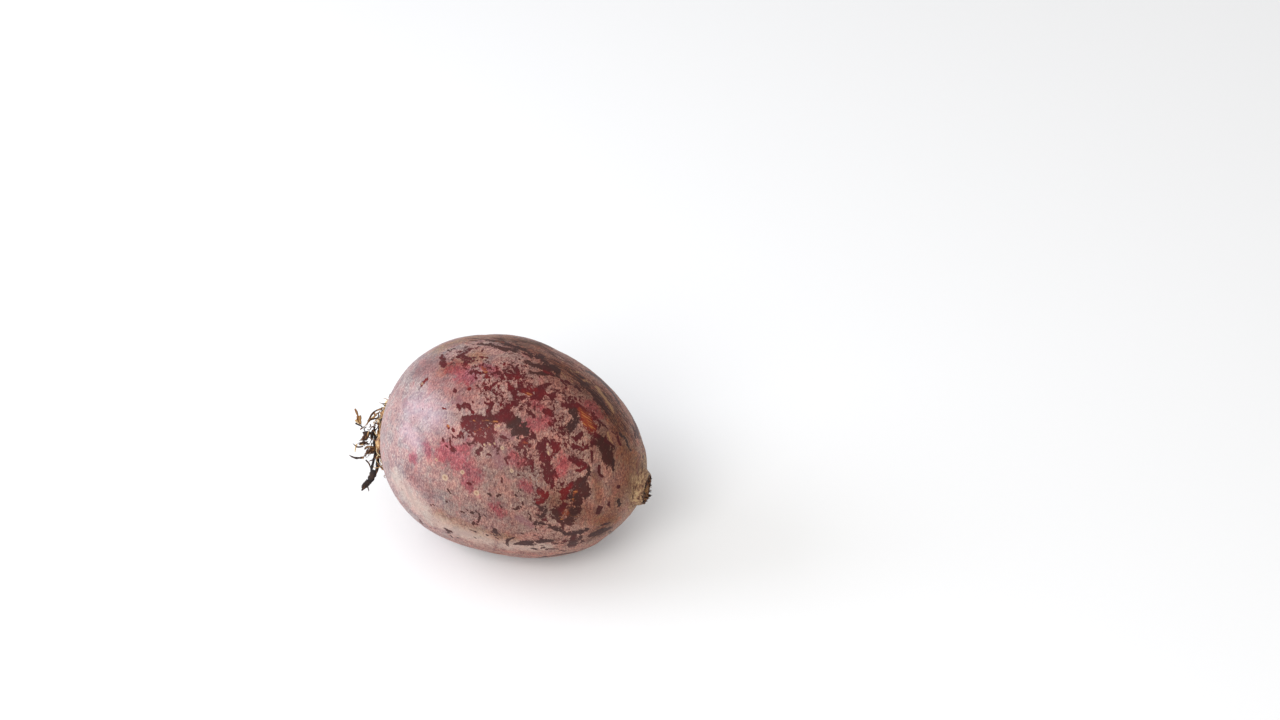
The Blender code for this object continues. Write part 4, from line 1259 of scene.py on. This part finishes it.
def build_tuft(name, strands, node, surface):
    """A tuft of dried stalks that replaces its solid."""
    draw = Random(STRAND_SEED)
    made = Fibres()
    for tone, width, thickness, count, *knots in strands:
        line = smooth_line([seen_point(*knot) for knot in knots])
        if count:
            made.bundle(line, width, thickness, count, tone, draw)
        else:
            made.strand(line, width * STRIP_SHARE, thickness, tone, draw)
            made.bundle(line, width * 0.9, thickness * 0.9, int(3 * width) + 1, min(tone + 0.08, 1), draw)
    if node == "dark_stalk_tuft":
        add_heart(made, draw)
    tuft = made.piece(name, surface)
    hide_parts(node)


def add_heart(made, draw):
    """The dried heart in the crown's hollow: a clump of short torn fibres."""
    for _ in range(HEART_FIBRES):
        angle = draw.uniform(0, 2 * pi)
        reach = HEART_RADIUS * draw.uniform(0, 1) ** 0.5
        out = np.array((0, cos(angle), sin(angle)))
        foot = np.array((HOLLOW_FLOOR, *HOLLOW_CENTRE)) + out * reach * 0.9
        height = draw.uniform(3.2, 6.6) * (1.1 - 0.3 * reach / HEART_RADIUS)
        bend = foot + np.array((-0.55 * height, 0, 0)) + out * 0.3
        lean = np.array((0, draw.uniform(-1, 1), draw.uniform(-1, 1)))
        tip = foot + np.array((-height, 0, 0)) + out * 0.25 * reach + lean
        line = smooth_line((foot, bend, tip))
        size = draw.uniform(0.3, 0.9)
        made.strand(line, size, size * 0.5, draw.uniform(0, 0.35) ** 1.2, draw, 6)


def collar_point(radius, angle):
    """A point over the corky collar, and the directions round it, out from it and off it."""
    here, further = [collar_place(radius + step, angle) for step in (0, 0.4)]
    round_it = np.array((0, -sin(angle), cos(angle)))
    out = (further - here) / np.linalg.norm(further - here)
    off = np.cross(round_it, out)
    if off[0] > 0:
        off = -off
    return here, round_it, out, off


def collar_place(radius, angle):
    """A point on the crown end, at a distance and an angle from the middle of the collar."""
    y = COLLAR_CENTRE[0] + radius * cos(angle)
    z = COLLAR_CENTRE[1] + radius * sin(angle)
    height = np.interp(radius, (*COLLAR_RADII[2:], COLLAR_EDGE), (*COLLAR_HEIGHTS[2:], 0))
    return np.array((crown_face(y, z) - height, y, z))


def add_scale(made, radius, angle, width, draw):
    """Adds a thin torn scale of cork that lifts off the collar at its edge."""
    here, round_it, out, off = collar_point(radius, angle)
    length = draw.uniform(0.6, 1.5)
    lift = draw.uniform(0.1, 0.75)
    inward = -1 if draw.random() < 0.6 else 1
    thick = draw.uniform(0.1, 0.2)
    turn = draw.uniform(-0.35, 0.35)
    across = round_it * cos(turn) + out * sin(turn)
    along = inward * (out * cos(turn) - round_it * sin(turn))
    phase = draw.uniform(0, 99)
    rows = []
    for side in np.linspace(-1, 1, 12):
        ragged = 1 + 0.7 * noise.noise(Vector((side * 2.2, phase, 0)))
        fullness = max(1 - abs(side) ** 3, 0.12)
        foot = here + across * side * width + off * (0.05 - (side * width) ** 2 / 16)
        top = [foot + along * length * ragged * fullness * share + off * lift * fullness * share ** 2
               for share in (0, 0.4, 0.75, 1)]
        low = [point - off * thick * (0.4 + 0.6 * fullness) for point in reversed(top)]
        rows.append(top + low)
    made.tube(np.array(rows), min(max(draw.gauss(0.47, 0.26), 0.05), 0.95), width / 6)


def build_crown():
    """Torn scales of cork round the collar, and curly rootlets on the crown."""
    draw = Random(STRAND_SEED + 1)
    made = Fibres()
    for radius, count, width in SCALE_RINGS:
        for k in range(count):
            angle = 2 * pi * (k + draw.uniform(-0.4, 0.4)) / count
            add_scale(made, radius + draw.uniform(-0.4, 0.4), angle, width * draw.uniform(0.35, 0.77), draw)
    scales = made.piece("crown_scales", strand_material("cork_scales", 0.8))
    threads = Fibres()
    for tone, width, thickness, *knots in COLLAR_STRANDS:
        line = smooth_line([seen_point(*knot) for knot in knots])
        threads.strand(line, width, thickness, tone, draw)
        threads.bundle(line, width * 1.3, thickness, 3, tone, draw)
    for _ in range(ROOTLETS):
        add_rootlet(threads, draw)
    rootlets = threads.piece("crown_rootlets", strand_material("rootlet_fibre", 0.7))


def add_rootlet(threads, draw):
    """Adds a curly rootlet that starts somewhere on the collar."""
    angle = draw.uniform(0, 2 * pi)
    here, round_it, out, off = collar_point(draw.uniform(6.0, 12.0), angle)
    knots = [here - off * 0.3]
    heading = round_it * draw.choice((-1, 1)) + out * draw.uniform(-0.6, 0.8) + off * draw.uniform(0.2, 1.0)
    for step in range(draw.randint(3, 6)):
        heading = heading + np.array([draw.uniform(-0.9, 0.9) for _ in range(3)]) - off * 0.25 * step
        knots.append(knots[-1] + heading / np.linalg.norm(heading) * draw.uniform(0.7, 1.5))
    threads.strand(smooth_line(knots), 0.26, 0.22, draw.uniform(0.15, 1.0), draw, 5)


def build_tail():
    """Short torn fibres round the broken end of the tap root."""
    draw = Random(STRAND_SEED + 2)
    made = Fibres()
    for _ in range(TAIL_FIBRES):
        angle = draw.uniform(0, 2 * pi)
        reach = draw.uniform(2.6, STUB_RADIUS - 0.15)
        out = np.array((0, cos(angle), sin(angle)))
        slant = BREAK_SLANT * cos(angle - BREAK_HIGH_ANGLE) * reach / STUB_RADIUS
        foot = np.array((STUB_END - 0.5 + slant, *STUB_OFFSET)) + out * reach
        length = draw.uniform(0.45, 0.95) + 0.9 * max(cos(angle - TORN_TIP_ANGLE), 0) ** 6
        tip = foot + np.array((length, 0, 0)) + out * draw.uniform(-0.4, 0.25)
        middle = (foot + tip) / 2 + out * draw.uniform(0, 0.15)
        size = draw.uniform(0.2, 0.5)
        line = smooth_line((foot, middle, tip))
        made.strand(line, size, size * 0.5, draw.uniform(0, 0.5) ** 1.3, draw, 6)
    fibres = made.piece("tail_fibres", strand_material("tail_fibre", 0.75))


def build_stage():
    """A plain pale floor, soft studio light and a pale surrounding."""
    floor = bpy.data.meshes.new("floor")
    reach = 3.0
    corners = [(-reach, -reach, 0), (reach, -reach, 0), (reach, reach, 0), (-reach, reach, 0)]
    floor.from_pydata(corners, [], [(0, 1, 2, 3)])
    ground = bpy.data.objects.new("floor", floor)
    bpy.context.scene.collection.objects.link(ground)
    look = Shader("pale_floor")
    tooth = look.noise(look.nodes.new("ShaderNodeTexCoord").outputs["Object"], 900, 3)
    floor.materials.append(look.finish(FLOOR_COLOUR, 0.8, look.bump(tooth, 0.0001, 0.2)))
    world = bpy.data.worlds.new("studio")
    world.use_nodes = True
    surrounding = world.node_tree.nodes["Background"]
    surrounding.inputs["Color"].default_value = (1, 1, 1, 1)
    surrounding.inputs["Strength"].default_value = SURROUNDING_STRENGTH
    bpy.context.scene.world = world
    for light in LIGHTS:
        add_light(*light)


def add_light(name, place, target, size, power, colour):
    """A large soft light that faces a target."""
    lamp = bpy.data.lights.new(name, "AREA")
    lamp.size = size
    lamp.energy = power
    lamp.color = colour
    lit = bpy.data.objects.new(name, lamp)
    lit.location = place
    lit.rotation_euler = (Vector(target) - Vector(place)).to_track_quat("-Z", "Y").to_euler()
    lit.visible_camera = False
    bpy.context.scene.collection.objects.link(lit)


def build_camera():
    """The camera, at the photograph's viewing angle and framing."""
    lens = bpy.data.cameras.new("camera")
    lens.lens = LENS
    lens.sensor_width = SENSOR
    camera = bpy.data.objects.new("camera", lens)
    camera.location = (CAMERA_PLACE + SET_DOWN) * MM
    camera.rotation_euler = Vector(BACK).to_track_quat("Z", "Y").to_euler()
    bpy.context.scene.collection.objects.link(camera)
    bpy.context.scene.camera = camera
    bpy.context.scene.view_settings.view_transform = "Standard"


ROOT_TREE = solid_tree("beet_root")
noise.seed_set(NOISE_SEED)
build_skin()
build_tuft("dark_stalks", DARK_STRANDS, "dark_stalk_tuft", strand_material("dark_dry_stalk"))
build_tuft("tan_stalks", TAN_STRANDS, "tan_stalk_tuft", strand_material("tan_dry_stalk"))
build_crown()
build_tail()
build_stage()
build_camera()
